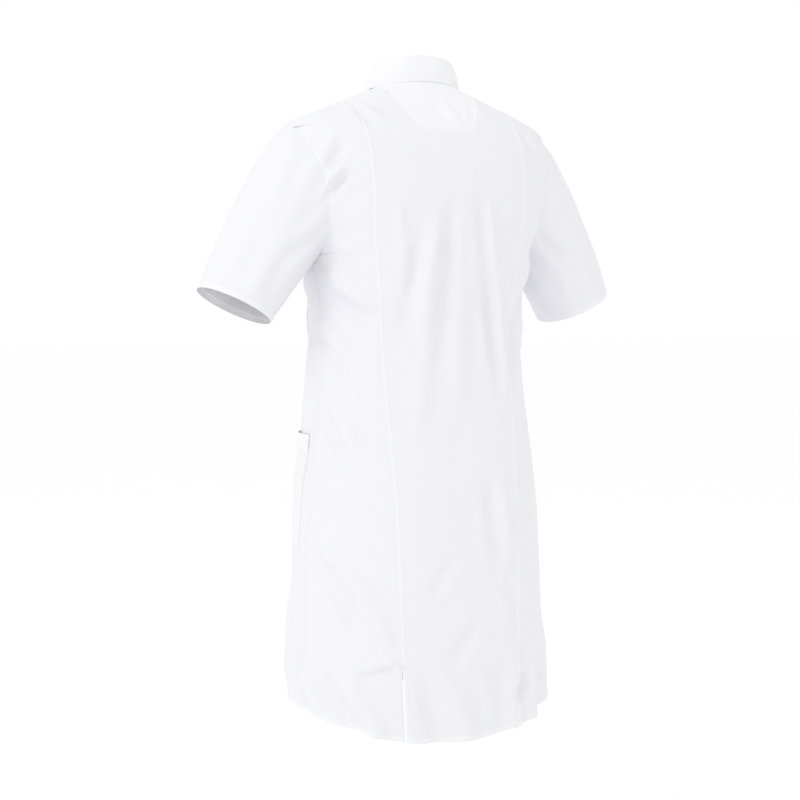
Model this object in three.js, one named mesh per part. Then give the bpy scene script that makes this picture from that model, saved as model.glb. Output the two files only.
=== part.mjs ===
// A short-sleeved, knee-length lab coat, as it hangs on a wearer, with its front closed.
// Millimetres. X runs to the wearer's right, Y to the wearer's front, Z up.
// The coat is drawn with heights measured up from the lowest point of its back hem, and the whole
// coat is then lowered so that the origin is the middle of the neck, level with the neck seam.
import * as THREE from 'three';

// ---- Cloth and clearances -------------------------------------------------------------------

const clothThickness = 1.2;
const facingThickness = 1.0;
const seamGap = 0.6;
const layerGap = 0.4;

// ---- Overall sizes --------------------------------------------------------------------------

const neckSeamHeight = 980;
const shoulderTipHeight = 905;
const armholeDepth = 192;
const waistHeight = 610;
const hipHeight = 300;

const hemHalfWidth = 201;
const hipHalfWidth = 193;
const waistHalfWidth = 169;
const underarmHalfWidth = 181;
const shoulderHalfWidth = 222;
const neckHalfWidth = 64;

const hemBackDepth = 158;
const hipBackDepth = 147;
const waistBackDepth = 116;
const bladeBackDepth = 126;
const neckBackDepth = 38;
const hemFrontDepth = 150;
const chestFrontDepth = 122;
const neckFrontDepth = 82;

// How far the hem rises above its lowest point, and how the neck seam dips.
const hemSideRise = 38;
const hemFrontRise = 17;
const neckBackRise = 8;
const neckFrontDrop = 55;

// ---- Seams, vents and hinged pieces ---------------------------------------------------------

const backSeamHem = 99;
const backSeamWaist = 115;
const backSeamBlade = 133;
const frontSeamX = 84;
const shoulderSeamX = 138;
const ventHeight = 107;
const ventGap = 1.5;
const sideSeamSetback = 8;

// ---- Sleeves --------------------------------------------------------------------------------

const armholeWaistX = 187;
const sleeveHemCentre = new THREE.Vector3(302, 11, 640);
const sleeveHemHalfWidth = 58;
const sleeveHemHalfDepth = 68;
const sleeveHemTilt = THREE.MathUtils.degToRad(28);
const shoulderJointDrop = 58;
const shoulderJointInset = 17;
const sleeveSplitRadius = 134;
const sleeveSplitGap = 1.0;
const sleeveFullness = 15;
const sleeveSwellSkew = 0.6;

// ---- Collar, facing, loop and label ---------------------------------------------------------

const standHeight = 36;
const standThickness = 2;
const standLean = 5;
const fallThickness = 2;
const fallReach = 8;
const fallPointReach = 34;
const fallFlare = 1;
const fallBow = 2.5;
const fallClearance = 2.5;
const fallEndX = 27;
const facingDepth = 86;
const facingHalfWidth = 70;
const loopHalfWidth = 26;
const loopDrop = 30;
const loopTapeWidth = 7;
const loopThickness = 1.2;
const labelWidth = 34;
const labelHeight = 16;
const labelThickness = 0.6;
const labelDrop = 22;
const labelSlack = 0.3;
const loopStandoff = 9;

// ---- Front closure --------------------------------------------------------------------------

const frontOverlap = 20;
const facingWidth = 52;
const studSpacing = 118;
const studCount = 6;
const topStudDrop = 24;
const capRadius = 6;
const capHeight = 1.6;
const socketRadius = 5.2;
const socketHeight = 2.0;
const stemRadius = 2.0;
const stemClearance = 0.5;
const stemHeight = 1.6;
const baseHeight = 0.7;

// ---- Pockets --------------------------------------------------------------------------------

const lowerPocketBottom = 268;
const lowerPocketTop = 448;
const lowerPocketWidth = 158;
const lowerPocketSideGap = 22;
const chestPocketBottom = 596;
const chestPocketTop = 716;
const chestPocketWidth = 92;
const chestPocketInset = 6;
const pocketFullness = 9;
const pocketSeatGap = (hemHalfWidth / 201) ** 3 * (armholeDepth / 192);

// ---- Smooth curves through a few sizes ------------------------------------------------------

// A curve through points that never swings past them, as a draughtsman's curve is drawn.
function curveThrough(knots, values) {
  const n = knots.length;
  const slope = [];
  for (let i = 0; i < n - 1; i++) {
    slope.push((values[i + 1] - values[i]) / (knots[i + 1] - knots[i]));
  }
  const tangent = [slope[0]];
  for (let i = 1; i < n - 1; i++) {
    const turn = slope[i - 1] * slope[i];
    tangent.push(turn <= 0 ? 0 : 2 * turn / (slope[i - 1] + slope[i]));
  }
  tangent.push(slope[n - 2]);
  return (at) => {
    const x = THREE.MathUtils.clamp(at, knots[0], knots[n - 1]);
    let i = 0;
    while (i < n - 2 && x > knots[i + 1]) i++;
    const span = knots[i + 1] - knots[i];
    const u = (x - knots[i]) / span;
    const ease = u * u * (3 - 2 * u);
    return values[i] * (1 - ease) + values[i + 1] * ease
      + span * tangent[i] * u * (1 - u) * (1 - u)
      - span * tangent[i + 1] * u * u * (1 - u);
  };
}

function blendBetween(a, b, share) {
  return a + (b - a) * share;
}

// ---- The body's surface ---------------------------------------------------------------------

// A place on the coat is an angle round the body and a distance up the cloth. The angle is 0 at
// the wearer's right side, a quarter turn at the front and minus a quarter turn at the back.
const underarmHeight = shoulderTipHeight - armholeDepth;
const blade = underarmHeight + armholeDepth * 0.42;
const yoke = underarmHeight + armholeDepth * 0.74;
const shoulderRun = shoulderHalfWidth - neckHalfWidth;
const midShoulder = shoulderTipHeight + shoulderRun * 0.5;
const neckLevel = shoulderTipHeight + shoulderRun * 1.06;
const levels = [0, hipHeight, waistHeight, underarmHeight, blade, yoke,
  shoulderTipHeight, midShoulder, neckLevel];

const shoulderRise = neckSeamHeight - shoulderTipHeight;
const backNeckHeight = neckSeamHeight + neckBackRise;
const frontNeckHeight = neckSeamHeight - neckFrontDrop;
const frontHang = (hemFrontDepth - chestFrontDepth) / underarmHeight;

function frontDepthAt(height) {
  return hemFrontDepth - frontHang * height;
}

const sideHeightAt = curveThrough(levels, [
  hemSideRise, hipHeight, waistHeight, underarmHeight, blade, yoke,
  shoulderTipHeight, shoulderTipHeight + shoulderRise * 0.52, neckSeamHeight,
]);
const backHeightAt = curveThrough(levels, [
  0, hipHeight, waistHeight, underarmHeight + 4, blade + 8, yoke + 12,
  backNeckHeight - 60, backNeckHeight - 27, backNeckHeight,
]);
const frontHeightAt = curveThrough(levels, [
  hemFrontRise, hipHeight, waistHeight, underarmHeight - 3, blade - 10, yoke - 18,
  frontNeckHeight - 43, frontNeckHeight - 20, frontNeckHeight,
]);
const halfWidthAt = curveThrough(levels, [
  hemHalfWidth, hipHalfWidth, waistHalfWidth, underarmHalfWidth,
  shoulderHalfWidth - 5, shoulderHalfWidth + 4, shoulderHalfWidth,
  neckHalfWidth + shoulderRun * 0.54, neckHalfWidth,
]);
const backDepthAt = curveThrough(levels, [
  hemBackDepth, hipBackDepth, waistBackDepth, bladeBackDepth - 2, bladeBackDepth,
  bladeBackDepth - 8, neckBackDepth + 46, neckBackDepth + 25, neckBackDepth,
]);
const frontDepthCurve = curveThrough(levels, [
  hemFrontDepth, frontDepthAt(hipHeight), frontDepthAt(waistHeight), chestFrontDepth,
  chestFrontDepth - 3, chestFrontDepth - 14, neckFrontDepth + 18, neckFrontDepth + 8,
  neckFrontDepth,
]);

// A rounded box in plan: 2 is an ellipse and larger is squarer.
const squareness = curveThrough([0, shoulderTipHeight, neckLevel], [2.45, 2.45, 2.05]);

function signedPower(value, power) {
  return Math.sign(value) * Math.abs(value) ** power;
}

function bodyPoint(angle, up) {
  const c = Math.cos(angle);
  const s = Math.sin(angle);
  const power = 2 / squareness(up);
  const depth = s > 0 ? frontDepthCurve(up) : backDepthAt(up);
  const middle = s > 0 ? frontHeightAt(up) : backHeightAt(up);
  return new THREE.Vector3(
    halfWidthAt(up) * signedPower(c, power),
    depth * signedPower(s, power),
    blendBetween(sideHeightAt(up), middle, s * s),
  );
}

function bodyNormal(angle, up) {
  const a = 0.02;
  const h = 4;
  const low = Math.max(up - h, 0);
  const high = Math.min(up + h, neckLevel);
  const along = bodyPoint(angle + a, up).sub(bodyPoint(angle - a, up));
  const rise = bodyPoint(angle, high).sub(bodyPoint(angle, low));
  return along.cross(rise).normalize();
}

// The surface moved out along its normal, so that layers of cloth lie on each other.
function layer(angle, up, lift) {
  return bodyPoint(angle, up).addScaledVector(bodyNormal(angle, up), lift);
}

// The angle at which the surface at one level is a given distance from the middle plane.
function angleAtX(x, up, front) {
  const share = THREE.MathUtils.clamp(Math.abs(x) / halfWidthAt(up), 0, 1);
  const quarter = Math.acos(share ** (squareness(up) / 2));
  const turn = x >= 0 ? quarter : Math.PI - quarter;
  return front ? turn : -turn;
}

// ---- Closed pieces of cloth -----------------------------------------------------------------

const clothFinish = { color: 0xf4f4f8, roughness: 0.85, metalness: 0 };
const studFinish = { color: 0xf0f0f2, roughness: 0.35, metalness: 0 };
const metalFinish = { color: 0xc8c9cc, roughness: 0.3, metalness: 1 };

function meshOf(name, geometry, finish) {
  const mesh = new THREE.Mesh(geometry, new THREE.MeshStandardMaterial(finish));
  mesh.name = name;
  return mesh;
}

// Six times the volume inside a closed surface, negative when the surface is inside out.
function signedVolume(positions, faces) {
  const [a, b, c] = [new THREE.Vector3(), new THREE.Vector3(), new THREE.Vector3()];
  let total = 0;
  for (let i = 0; i < faces.length; i += 3) {
    a.fromArray(positions, 3 * faces[i]);
    b.fromArray(positions, 3 * faces[i + 1]);
    c.fromArray(positions, 3 * faces[i + 2]);
    total += a.dot(b.cross(c));
  }
  return total;
}

// A sheet of cloth from two grids of points, its outside and its inside, closed round its edges.
// around joins the last column to the first, as in a sleeve.
function sheet(name, outer, inner, around = false) {
  const rows = outer.length;
  const columns = outer[0].length;
  const positions = [];
  for (const grid of [outer, inner]) {
    for (const row of grid) {
      for (const p of row) positions.push(p.x, p.y, p.z);
    }
  }
  const offset = rows * columns;
  const at = (side, row, column) => side * offset + row * columns + (column % columns);
  const faces = [];
  const quad = (a, b, c, d) => faces.push(a, b, c, a, c, d);
  const spans = around ? columns : columns - 1;
  for (let r = 0; r < rows - 1; r++) {
    for (let c = 0; c < spans; c++) {
      quad(at(0, r, c), at(0, r, c + 1), at(0, r + 1, c + 1), at(0, r + 1, c));
      quad(at(1, r, c), at(1, r + 1, c), at(1, r + 1, c + 1), at(1, r, c + 1));
    }
  }
  for (let c = 0; c < spans; c++) {
    quad(at(0, 0, c), at(1, 0, c), at(1, 0, c + 1), at(0, 0, c + 1));
    quad(at(0, rows - 1, c), at(0, rows - 1, c + 1), at(1, rows - 1, c + 1), at(1, rows - 1, c));
  }
  if (!around) {
    for (let r = 0; r < rows - 1; r++) {
      quad(at(0, r, 0), at(0, r + 1, 0), at(1, r + 1, 0), at(1, r, 0));
      quad(at(0, r, columns - 1), at(1, r, columns - 1), at(1, r + 1, columns - 1),
        at(0, r + 1, columns - 1));
    }
  }
  if (signedVolume(positions, faces) < 0) faces.reverse();
  const geometry = new THREE.BufferGeometry();
  geometry.setAttribute('position', new THREE.Float32BufferAttribute(positions, 3));
  geometry.setIndex(faces);
  geometry.computeVertexNormals();
  return meshOf(name, geometry, clothFinish);
}

function spaced(from, to, count) {
  return Array.from({ length: count + 1 }, (_, i) => blendBetween(from, to, i / count));
}

// Columns evenly spread between lines on the body, each line given as its angle at a level.
function columnsBetween(...parts) {
  const columns = [parts[0]];
  for (let i = 1; i < parts.length; i += 2) {
    const [count, end] = [parts[i], parts[i + 1]];
    const start = columns[columns.length - 1];
    for (const share of spaced(0, 1, count).slice(1)) {
      columns.push((up) => blendBetween(start(up), end(up), share));
    }
  }
  return columns;
}

// A panel of the body. Its rows are levels and its columns are lines on the body, in the order
// of a growing angle. lift raises its outside above the body's surface.
function panel(name, ups, columns, options = {}) {
  const { lift = () => 0, thickness = clothThickness } = options;
  const outer = [];
  const inner = [];
  for (const up of ups) {
    const angles = columns.map((column) => column(up));
    const lifts = angles.map((angle) => lift(angle, up));
    outer.push(angles.map((angle, i) => layer(angle, up, lifts[i])));
    inner.push(angles.map((angle, i) => layer(angle, up, lifts[i] - thickness)));
  }
  return sheet(name, outer, inner);
}

// ---- Seam lines -----------------------------------------------------------------------------

// The level at which a size that only grows or only shrinks has a given value.
function levelWhere(curve, value, low, high) {
  const growing = curve(high) > curve(low);
  for (let i = 0; i < 40; i++) {
    const middle = (low + high) / 2;
    if (curve(middle) < value === growing) low = middle;
    else high = middle;
  }
  return low;
}

// The princess seams stop just short of the shoulder seam, on both sides of it.
const seamTop = levelWhere(halfWidthAt, shoulderSeamX * 1.002, shoulderTipHeight, neckLevel);

const studHeights = Array.from({ length: studCount },
  (_, i) => frontNeckHeight - topStudDrop - i * studSpacing);
const studLevels = studHeights.map((height) => levelWhere(frontHeightAt, height, 0, neckLevel));
const facingLevel = levelWhere(backHeightAt, backNeckHeight - facingDepth, 0, neckLevel);
const flapTopLevel = levelWhere(frontHeightAt, studHeights[0] - studSpacing * 0.4, 0, neckLevel);

const backSeamAt = curveThrough(
  [0, waistHeight, blade, seamTop],
  [backSeamHem, backSeamWaist, backSeamBlade, shoulderSeamX],
);
const frontSeamAt = curveThrough(
  [0, flapTopLevel, seamTop],
  [frontSeamX, frontSeamX, shoulderSeamX],
);

// Half a seam's gap as an angle, at one level.
function gapAngle(angle, up, gap) {
  const step = 0.01;
  return step * (gap / 2) / bodyPoint(angle, up).distanceTo(bodyPoint(angle + step, up));
}

// An edge just to one side of a seam. towards is +1 for a larger angle and -1 for a smaller one.
function besideSeam(angle, up, towards, gap = seamGap) {
  return angle + towards * gapAngle(angle, up, gap);
}

// The armhole: the body's surface ends where it crosses a nearly upright sheet.
const armholeX = curveThrough(
  [underarmHeight, blade, shoulderTipHeight],
  [underarmHalfWidth - 1.5, armholeWaistX, shoulderHalfWidth - 1.5],
);
const underarmLevel = underarmHeight + 4;

// The angle of the side edge of a right-hand panel, front or back. Below the underarm it is the
// side seam, between the underarm and the shoulder tip the armhole, and above that the shoulder.
function rightSideAngle(up, front) {
  if (up < underarmLevel) {
    const setback = sideSeamSetback * THREE.MathUtils.smoothstep(underarmLevel - up, 0, 140);
    const share = setback / backDepthAt(up);
    const seam = -Math.asin(share ** (squareness(up) / 2));
    return besideSeam(seam, up, front ? 1 : -1);
  }
  if (up <= shoulderTipHeight) return angleAtX(armholeX(up), up, front);
  const ridge = front ? 1 : -1;
  return besideSeam(0, up, ridge, seamGap);
}

// ---- Body panels ----------------------------------------------------------------------------

// Every panel takes its rows from one list, so that both sides of a seam have the same corners.
function sharesOf(low, high, shares) {
  return shares.map((share) => blendBetween(low, high, share));
}

const armholeTop = shoulderTipHeight - 6;
const armholeLevels = sharesOf(underarmLevel, armholeTop, [0, 0.04, 0.13, 0.29, 0.5, 0.75, 0.9, 1]);
const shoulderLevels = sharesOf(shoulderTipHeight, seamTop, [0.12, 0.45, 0.75, 0.93, 1]);
const allLevels = [
  0, ventHeight, 200, ...studLevels.slice(1), waistHeight, flapTopLevel,
  facingLevel,
  ...armholeLevels, ...shoulderLevels, ...sharesOf(seamTop, neckLevel, [0.1, 0.4, 0.7, 1]),
].sort((a, b) => a - b);
const sideLevels = allLevels.filter((up) => up <= seamTop);

function levelsBetween(low, high, lowGap = 0, highGap = 0) {
  const inside = allLevels.filter((up) => up > low && up < high);
  return [low + lowGap, ...inside, high - highGap];
}

// The left-hand angle that mirrors a right-hand one, reached round the front or round the back.
function mirrored(angle, front) {
  return (front ? Math.PI : -Math.PI) - angle;
}

function frontAtX(x) {
  return (up) => angleAtX(x, up, true);
}

function backAtX(x) {
  return (up) => angleAtX(x, up, false);
}

const facingColumns = 8;
const coat = new THREE.Group();

function addSidePanels() {
  const seams = {
    back: (up) => besideSeam(angleAtX(backSeamAt(up), up, false), up, 1),
    front: (up) => besideSeam(angleAtX(frontSeamAt(up), up, true), up, -1),
  };
  for (const side of ['back', 'front']) {
    const isFront = side === 'front';
    const seam = seams[side];
    const edge = (up) => rightSideAngle(up, isFront);
    const lines = isFront ? [edge, seam] : [seam, edge];
    const flipped = [lines[1], lines[0]].map((line) => (up) => mirrored(line(up), isFront));
    coat.add(panel(`side_${side}_right`, sideLevels, columnsBetween(lines[0], 7, lines[1])));
    coat.add(panel(`side_${side}_left`, sideLevels, columnsBetween(flipped[0], 7, flipped[1])));
  }
}

function centreEdge(up, front) {
  if (up <= seamTop) {
    const seam = front ? frontSeamAt(up) : backSeamAt(up);
    return besideSeam(angleAtX(seam, up, front), up, front ? 1 : -1);
  }
  return besideSeam(0, up, front ? 1 : -1);
}

function addBackPanels() {
  const right = (up) => centreEdge(up, false);
  const left = (up) => mirrored(right(up), false);
  const columns = columnsBetween(
    left, 3, backAtX(-facingHalfWidth), facingColumns, backAtX(facingHalfWidth), 3, right);
  coat.add(panel('back_panel', levelsBetween(ventHeight, neckLevel, seamGap), columns));
  coat.add(panel('tail_flap', levelsBetween(0, ventHeight, 0, seamGap),
    columnsBetween((up) => besideSeam(left(up), up, 1, ventGap), 8,
      (up) => besideSeam(right(up), up, -1, ventGap))));
}

// ---- Fronts ---------------------------------------------------------------------------------

// The stack of layers at the closure, as lifts above the body's surface, from the inside out.
const underOuter = 0;
const postBase = underOuter + layerGap;
const socketInner = postBase + baseHeight + layerGap;
const socketOuter = socketInner + socketHeight;
const overFacingOuter = socketOuter + layerGap + facingThickness;
const overPanelOuter = overFacingOuter + layerGap + clothThickness;
const capInner = overPanelOuter + layerGap;
const underFacingOuter = underOuter - clothThickness - layerGap;

const overRampEnd = facingWidth - frontOverlap + 4;
const overRampStart = overRampEnd + 36;

// How far the over (left) front stands off, at a distance from the middle plane.
function overLift(x) {
  return overPanelOuter * THREE.MathUtils.smoothstep(x, -overRampStart, -overRampEnd);
}

const flapGap = 1.2;
const flapLevels = levelsBetween(0, flapTopLevel, 0, flapGap);
const upperLevels = levelsBetween(flapTopLevel, neckLevel);

function addFronts() {
  const rightSeam = (up) => centreEdge(up, true);
  const leftSeam = (up) => mirrored(rightSeam(up), true);
  const overEdge = frontAtX(frontOverlap);
  const underEdge = frontAtX(-frontOverlap);
  const overFacingEdge = frontAtX(frontOverlap - facingWidth);
  const underFacingEdge = frontAtX(facingWidth - frontOverlap);
  const overColumns = columnsBetween(overEdge, 4, overFacingEdge, 4, leftSeam);
  const underColumns = columnsBetween(rightSeam, 4, underFacingEdge, 4, underEdge);
  const over = { lift: (angle, up) => overLift(bodyPoint(angle, up).x) };
  const overFacing = { lift: () => overFacingOuter, thickness: facingThickness };
  const underFacing = { lift: () => underFacingOuter, thickness: facingThickness };
  for (const [place, ups] of [['front', flapLevels], ['upper', upperLevels]]) {
    coat.add(panel(`${place}_panel_left`, ups, overColumns, over));
    coat.add(panel(`${place}_panel_right`, ups, underColumns));
    coat.add(panel(`${place}_facing_left`, ups,
      columnsBetween(overEdge, 4, overFacingEdge), overFacing));
    coat.add(panel(`${place}_facing_right`, ups,
      columnsBetween(underFacingEdge, 4, underEdge), underFacing));
  }
}

// ---- Press studs ----------------------------------------------------------------------------

function studPiece(name, profile, level, lift, finish) {
  const points = profile.map(([radius, height]) => new THREE.Vector2(radius, height));
  const piece = meshOf(name, new THREE.LatheGeometry(points, 14), finish);
  const normal = bodyNormal(Math.PI / 2, level);
  piece.position.copy(layer(Math.PI / 2, level, lift));
  piece.quaternion.setFromUnitVectors(new THREE.Vector3(0, 1, 0), normal);
  return piece;
}

function addStuds() {
  const cap = [[0, 0], [capRadius, 0], [capRadius, capHeight * 0.45],
    [capRadius * 0.75, capHeight * 0.85], [0, capHeight]];
  const bore = stemRadius + stemClearance;
  const socket = [[bore, 0], [socketRadius, 0], [socketRadius, socketHeight],
    [bore, socketHeight], [bore, 0]];
  const post = [[0, 0], [socketRadius, 0], [socketRadius, baseHeight], [stemRadius, baseHeight],
    [stemRadius, baseHeight + stemHeight], [0, baseHeight + stemHeight]];
  studLevels.forEach((level, i) => {
    const name = `stud_${i + 1}`;
    coat.add(studPiece(`${name}_cap`, cap, level, capInner, studFinish));
    coat.add(studPiece(`${name}_socket`, socket, level, socketInner, metalFinish));
    coat.add(studPiece(`${name}_post`, post, level, postBase, metalFinish));
  });
}

// ---- Sleeves --------------------------------------------------------------------------------

const shoulderJoint = new THREE.Vector3(
  shoulderHalfWidth - shoulderJointInset, 0, shoulderTipHeight - shoulderJointDrop);

// The armhole's edge, from the underarm up the back to the shoulder tip and down the front.
function armholeRing() {
  const side = (up, front) => bodyPoint(angleAtX(armholeX(up), up, front), up);
  const back = armholeLevels.map((up) => side(up, false));
  const front = armholeLevels.slice(1).reverse().map((up) => side(up, true));
  return [...back, ...front];
}

const armholeEdge = armholeRing();
const armholeCentre = new THREE.Vector3(
  armholeWaistX, 0, (underarmHeight + shoulderTipHeight) / 2);

// The sleeve's outside, for one column of the armhole's edge and a share of the way to the hem.
function sleevePoint(column, share) {
  const start = armholeEdge[column].clone();
  start.x += seamGap;
  const round = Math.atan2(start.y - armholeCentre.y, start.z - armholeCentre.z);
  const across = sleeveHemHalfWidth * Math.cos(round);
  const end = sleeveHemCentre.clone().add(new THREE.Vector3(
    across * Math.cos(sleeveHemTilt),
    sleeveHemHalfDepth * Math.sin(round),
    across * Math.sin(sleeveHemTilt),
  ));
  const point = start.clone().lerp(end, share);
  const outward = point.clone().sub(sleeveAxisPoint(share)).normalize();
  const topSide = Math.max(0, Math.cos(round));
  const swell = Math.sin(Math.PI * share ** sleeveSwellSkew);
  return point.addScaledVector(outward, sleeveFullness * topSide * swell);
}

function sleeveAxisPoint(share) {
  return armholeCentre.clone().lerp(sleeveHemCentre, share);
}

// The share at which a column crosses the round joint between sleeve head and sleeve.
function shareAtRadius(column, radius) {
  const reach = (share) => {
    const p = sleevePoint(column, share);
    return Math.hypot(p.x - shoulderJoint.x, p.z - shoulderJoint.z);
  };
  return levelWhere(reach, radius, 0, 1);
}

function sleeveTube(name, mirror, rows, fromAt, toAt) {
  const outer = [];
  const inner = [];
  for (const row of spaced(0, 1, rows)) {
    const ringOut = [];
    const ringIn = [];
    armholeEdge.forEach((_, column) => {
      const share = blendBetween(fromAt(column), toAt(column), row);
      const point = sleevePoint(column, share);
      const inward = sleeveAxisPoint(share).sub(point).normalize();
      ringOut.push(point.clone());
      ringIn.push(point.addScaledVector(inward, clothThickness));
    });
    outer.push(ringOut);
    inner.push(ringIn);
  }
  if (mirror) {
    for (const ring of [...outer, ...inner]) ring.forEach((p) => { p.x = -p.x; });
  }
  return sheet(name, outer, inner, true);
}

function addSleeves() {
  const headEnd = (column) => shareAtRadius(column, sleeveSplitRadius - sleeveSplitGap);
  const tubeStart = (column) => shareAtRadius(column, sleeveSplitRadius + sleeveSplitGap);
  for (const side of ['right', 'left']) {
    const mirror = side === 'left';
    coat.add(sleeveTube(`sleeve_head_${side}`, mirror, 3, () => 0, headEnd));
    coat.add(sleeveTube(`sleeve_${side}`, mirror, 4, tubeStart, () => 1));
  }
}

// ---- Collar ---------------------------------------------------------------------------------

// The neck seam is walked from the right front's edge round the back to the left front's edge.
const underNeckEdge = angleAtX(-frontOverlap, neckLevel, true);
const overNeckEdge = angleAtX(frontOverlap, neckLevel, true) - 2 * Math.PI;

function neckOutward(angle) {
  const out = bodyNormal(angle, neckLevel);
  out.z = 0;
  return out.normalize();
}

// How far the collar stands off where the left front lies over the right one.
function collarLift(angle) {
  return angle < -Math.PI ? overLift(bodyPoint(angle, neckLevel).x) : 0;
}

function standPoint(angle, height, lift) {
  const lean = standLean * height / standHeight;
  const point = layer(angle, neckLevel, collarLift(angle));
  point.addScaledVector(neckOutward(angle), lift - lean);
  point.z += seamGap + height;
  return point;
}

function addCollar() {
  const standAngles = spaced(underNeckEdge, overNeckEdge, 36);
  const standRow = (height, lift) => standAngles.map((angle) => standPoint(angle, height, lift));
  const heights = [0, standHeight / 2, standHeight];
  coat.add(sheet('collar_stand', heights.map((height) => standRow(height, 0)),
    heights.map((height) => standRow(height, -standThickness))));

  const start = angleAtX(fallEndX, neckLevel, true);
  const end = angleAtX(-fallEndX, neckLevel, true) - 2 * Math.PI;
  const fallAngles = spaced(start, end, 32);
  const foldLift = layerGap + fallThickness;
  const lowerEdge = (angle, lift) => {
    const round = Math.abs(angle + Math.PI / 2) / (start + Math.PI / 2);
    const reach = blendBetween(fallReach, fallPointReach, round ** 4);
    const off = fallClearance + collarLift(angle) + lift;
    return layer(angle, neckLevel - reach, off).addScaledVector(neckOutward(angle), fallFlare);
  };
  const fallPoint = (angle, share, lift) => {
    const top = standPoint(angle, standHeight, foldLift + lift);
    const bow = fallBow * 4 * share * (1 - share);
    return top.lerp(lowerEdge(angle, lift), share).addScaledVector(neckOutward(angle), bow);
  };
  const shares = [0, 0.35, 0.7, 1];
  const fallRow = (share, lift) => fallAngles.map((angle) => fallPoint(angle, share, lift));
  coat.add(sheet('collar_fall', shares.map((share) => fallRow(share, fallThickness)),
    shares.map((share) => fallRow(share, 0))));
}

// ---- Inside the back neck -------------------------------------------------------------------

const facingOuter = -clothThickness - layerGap;

function addNeckPieces() {
  coat.add(panel('back_neck_facing', levelsBetween(facingLevel, neckLevel),
    columnsBetween(backAtX(-facingHalfWidth), facingColumns, backAtX(facingHalfWidth)),
    { lift: () => facingOuter, thickness: facingThickness }));
  const labelSpan = [labelDrop + labelHeight, labelDrop].map(
    (drop) => levelWhere(backHeightAt, backNeckHeight - drop, shoulderTipHeight, neckLevel));
  const labelLift = facingOuter - facingThickness - layerGap - labelSlack;
  coat.add(panel('size_label', labelSpan,
    columnsBetween(backAtX(-labelWidth / 2), 2, backAtX(labelWidth / 2)),
    { lift: () => labelLift, thickness: labelThickness }));

  const loop = new THREE.Shape();
  loop.absellipse(0, 0, loopHalfWidth, loopDrop, Math.PI, 2 * Math.PI, false, 0);
  loop.lineTo(loopHalfWidth - loopTapeWidth, 0);
  loop.absellipse(0, 0, loopHalfWidth - loopTapeWidth, loopDrop - loopTapeWidth,
    2 * Math.PI, Math.PI, true, 0);
  loop.closePath();
  const tape = new THREE.ExtrudeGeometry(loop,
    { depth: loopThickness, bevelEnabled: false, curveSegments: 12 });
  const piece = meshOf('hanger_loop', tape, clothFinish);
  piece.rotation.x = Math.PI / 2;
  piece.position.set(0, -neckBackDepth + loopStandoff, backNeckHeight - layerGap);
  coat.add(piece);
}

// ---- Pockets --------------------------------------------------------------------------------

// The angle reached by walking a distance round the body at one level.
function walkRound(angle, up, distance) {
  const step = 0.004;
  let walked = 0;
  let at = angle;
  while (walked < distance) {
    const length = bodyPoint(at, up).distanceTo(bodyPoint(at + step, up));
    const share = Math.min(1, (distance - walked) / length);
    at += step * share;
    walked += length;
  }
  return at;
}

// A patch pocket: it lies on its panel along its sides and bottom and stands open at its top.
function pocket(name, mirror, bottom, top, startAt, width, fullness) {
  const inner = pocketSeatGap + clothThickness;
  const rows = sharesOf(bottom, top, [0, 0.04, 0.35, 0.7, 1]);
  const shares = [0, 0.03, 0.16, 0.33, 0.5, 0.67, 0.84, 0.97, 1];
  const grid = (raise) => rows.map((up) => {
    const start = startAt(up);
    const end = walkRound(start, up, width);
    const open = THREE.MathUtils.smoothstep(up, bottom, bottom + (top - bottom) * 0.4);
    return shares.map((share) => {
      const crown = Math.sqrt(Math.max(0, Math.sin(Math.PI * share)));
      const angle = blendBetween(start, end, share);
      const seat = mirror ? overLift(-bodyPoint(angle, up).x) : 0;
      const point = layer(angle, up, seat + inner + raise + fullness * open * crown);
      if (mirror) point.x = -point.x;
      return point;
    });
  });
  return sheet(name, grid(0), grid(-clothThickness));
}

function addPockets() {
  const lowerStart = (up) => walkRound(rightSideAngle(up, true), up, lowerPocketSideGap);
  for (const side of ['right', 'left']) {
    coat.add(pocket(`lower_pocket_${side}`, side === 'left', lowerPocketBottom, lowerPocketTop,
      lowerStart, lowerPocketWidth, pocketFullness));
  }
  const chestEdge = (up) => angleAtX(frontSeamX + chestPocketInset, up, true);
  const chestStart = (up) => {
    let angle = chestEdge(up);
    const target = chestPocketWidth;
    while (bodyPoint(angle, up).distanceTo(bodyPoint(chestEdge(up), up)) < target) angle -= 0.004;
    return angle;
  };
  coat.add(pocket('chest_pocket', true, chestPocketBottom, chestPocketTop,
    chestStart, chestPocketWidth, pocketFullness));
}

addSidePanels();
addBackPanels();
addFronts();
addStuds();
addSleeves();
addCollar();
addNeckPieces();
addPockets();

coat.position.z = -neckSeamHeight;
const part = new THREE.Group();
part.add(coat);
export default part;
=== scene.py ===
# %% [markdown]
# # A short-sleeved lab coat
# A lab coat is a garment of about a dozen cut pieces: a centre back, four side panels, two fronts
# with facings, two sleeves, a two-piece collar and three patch pockets. This lesson makes each cut
# piece as its own mesh, in the worn shape, from a few sizes of the coat. The model that holds the
# solids, joints and places is loaded first, and each cloth piece takes the place of its plain solid.

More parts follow.
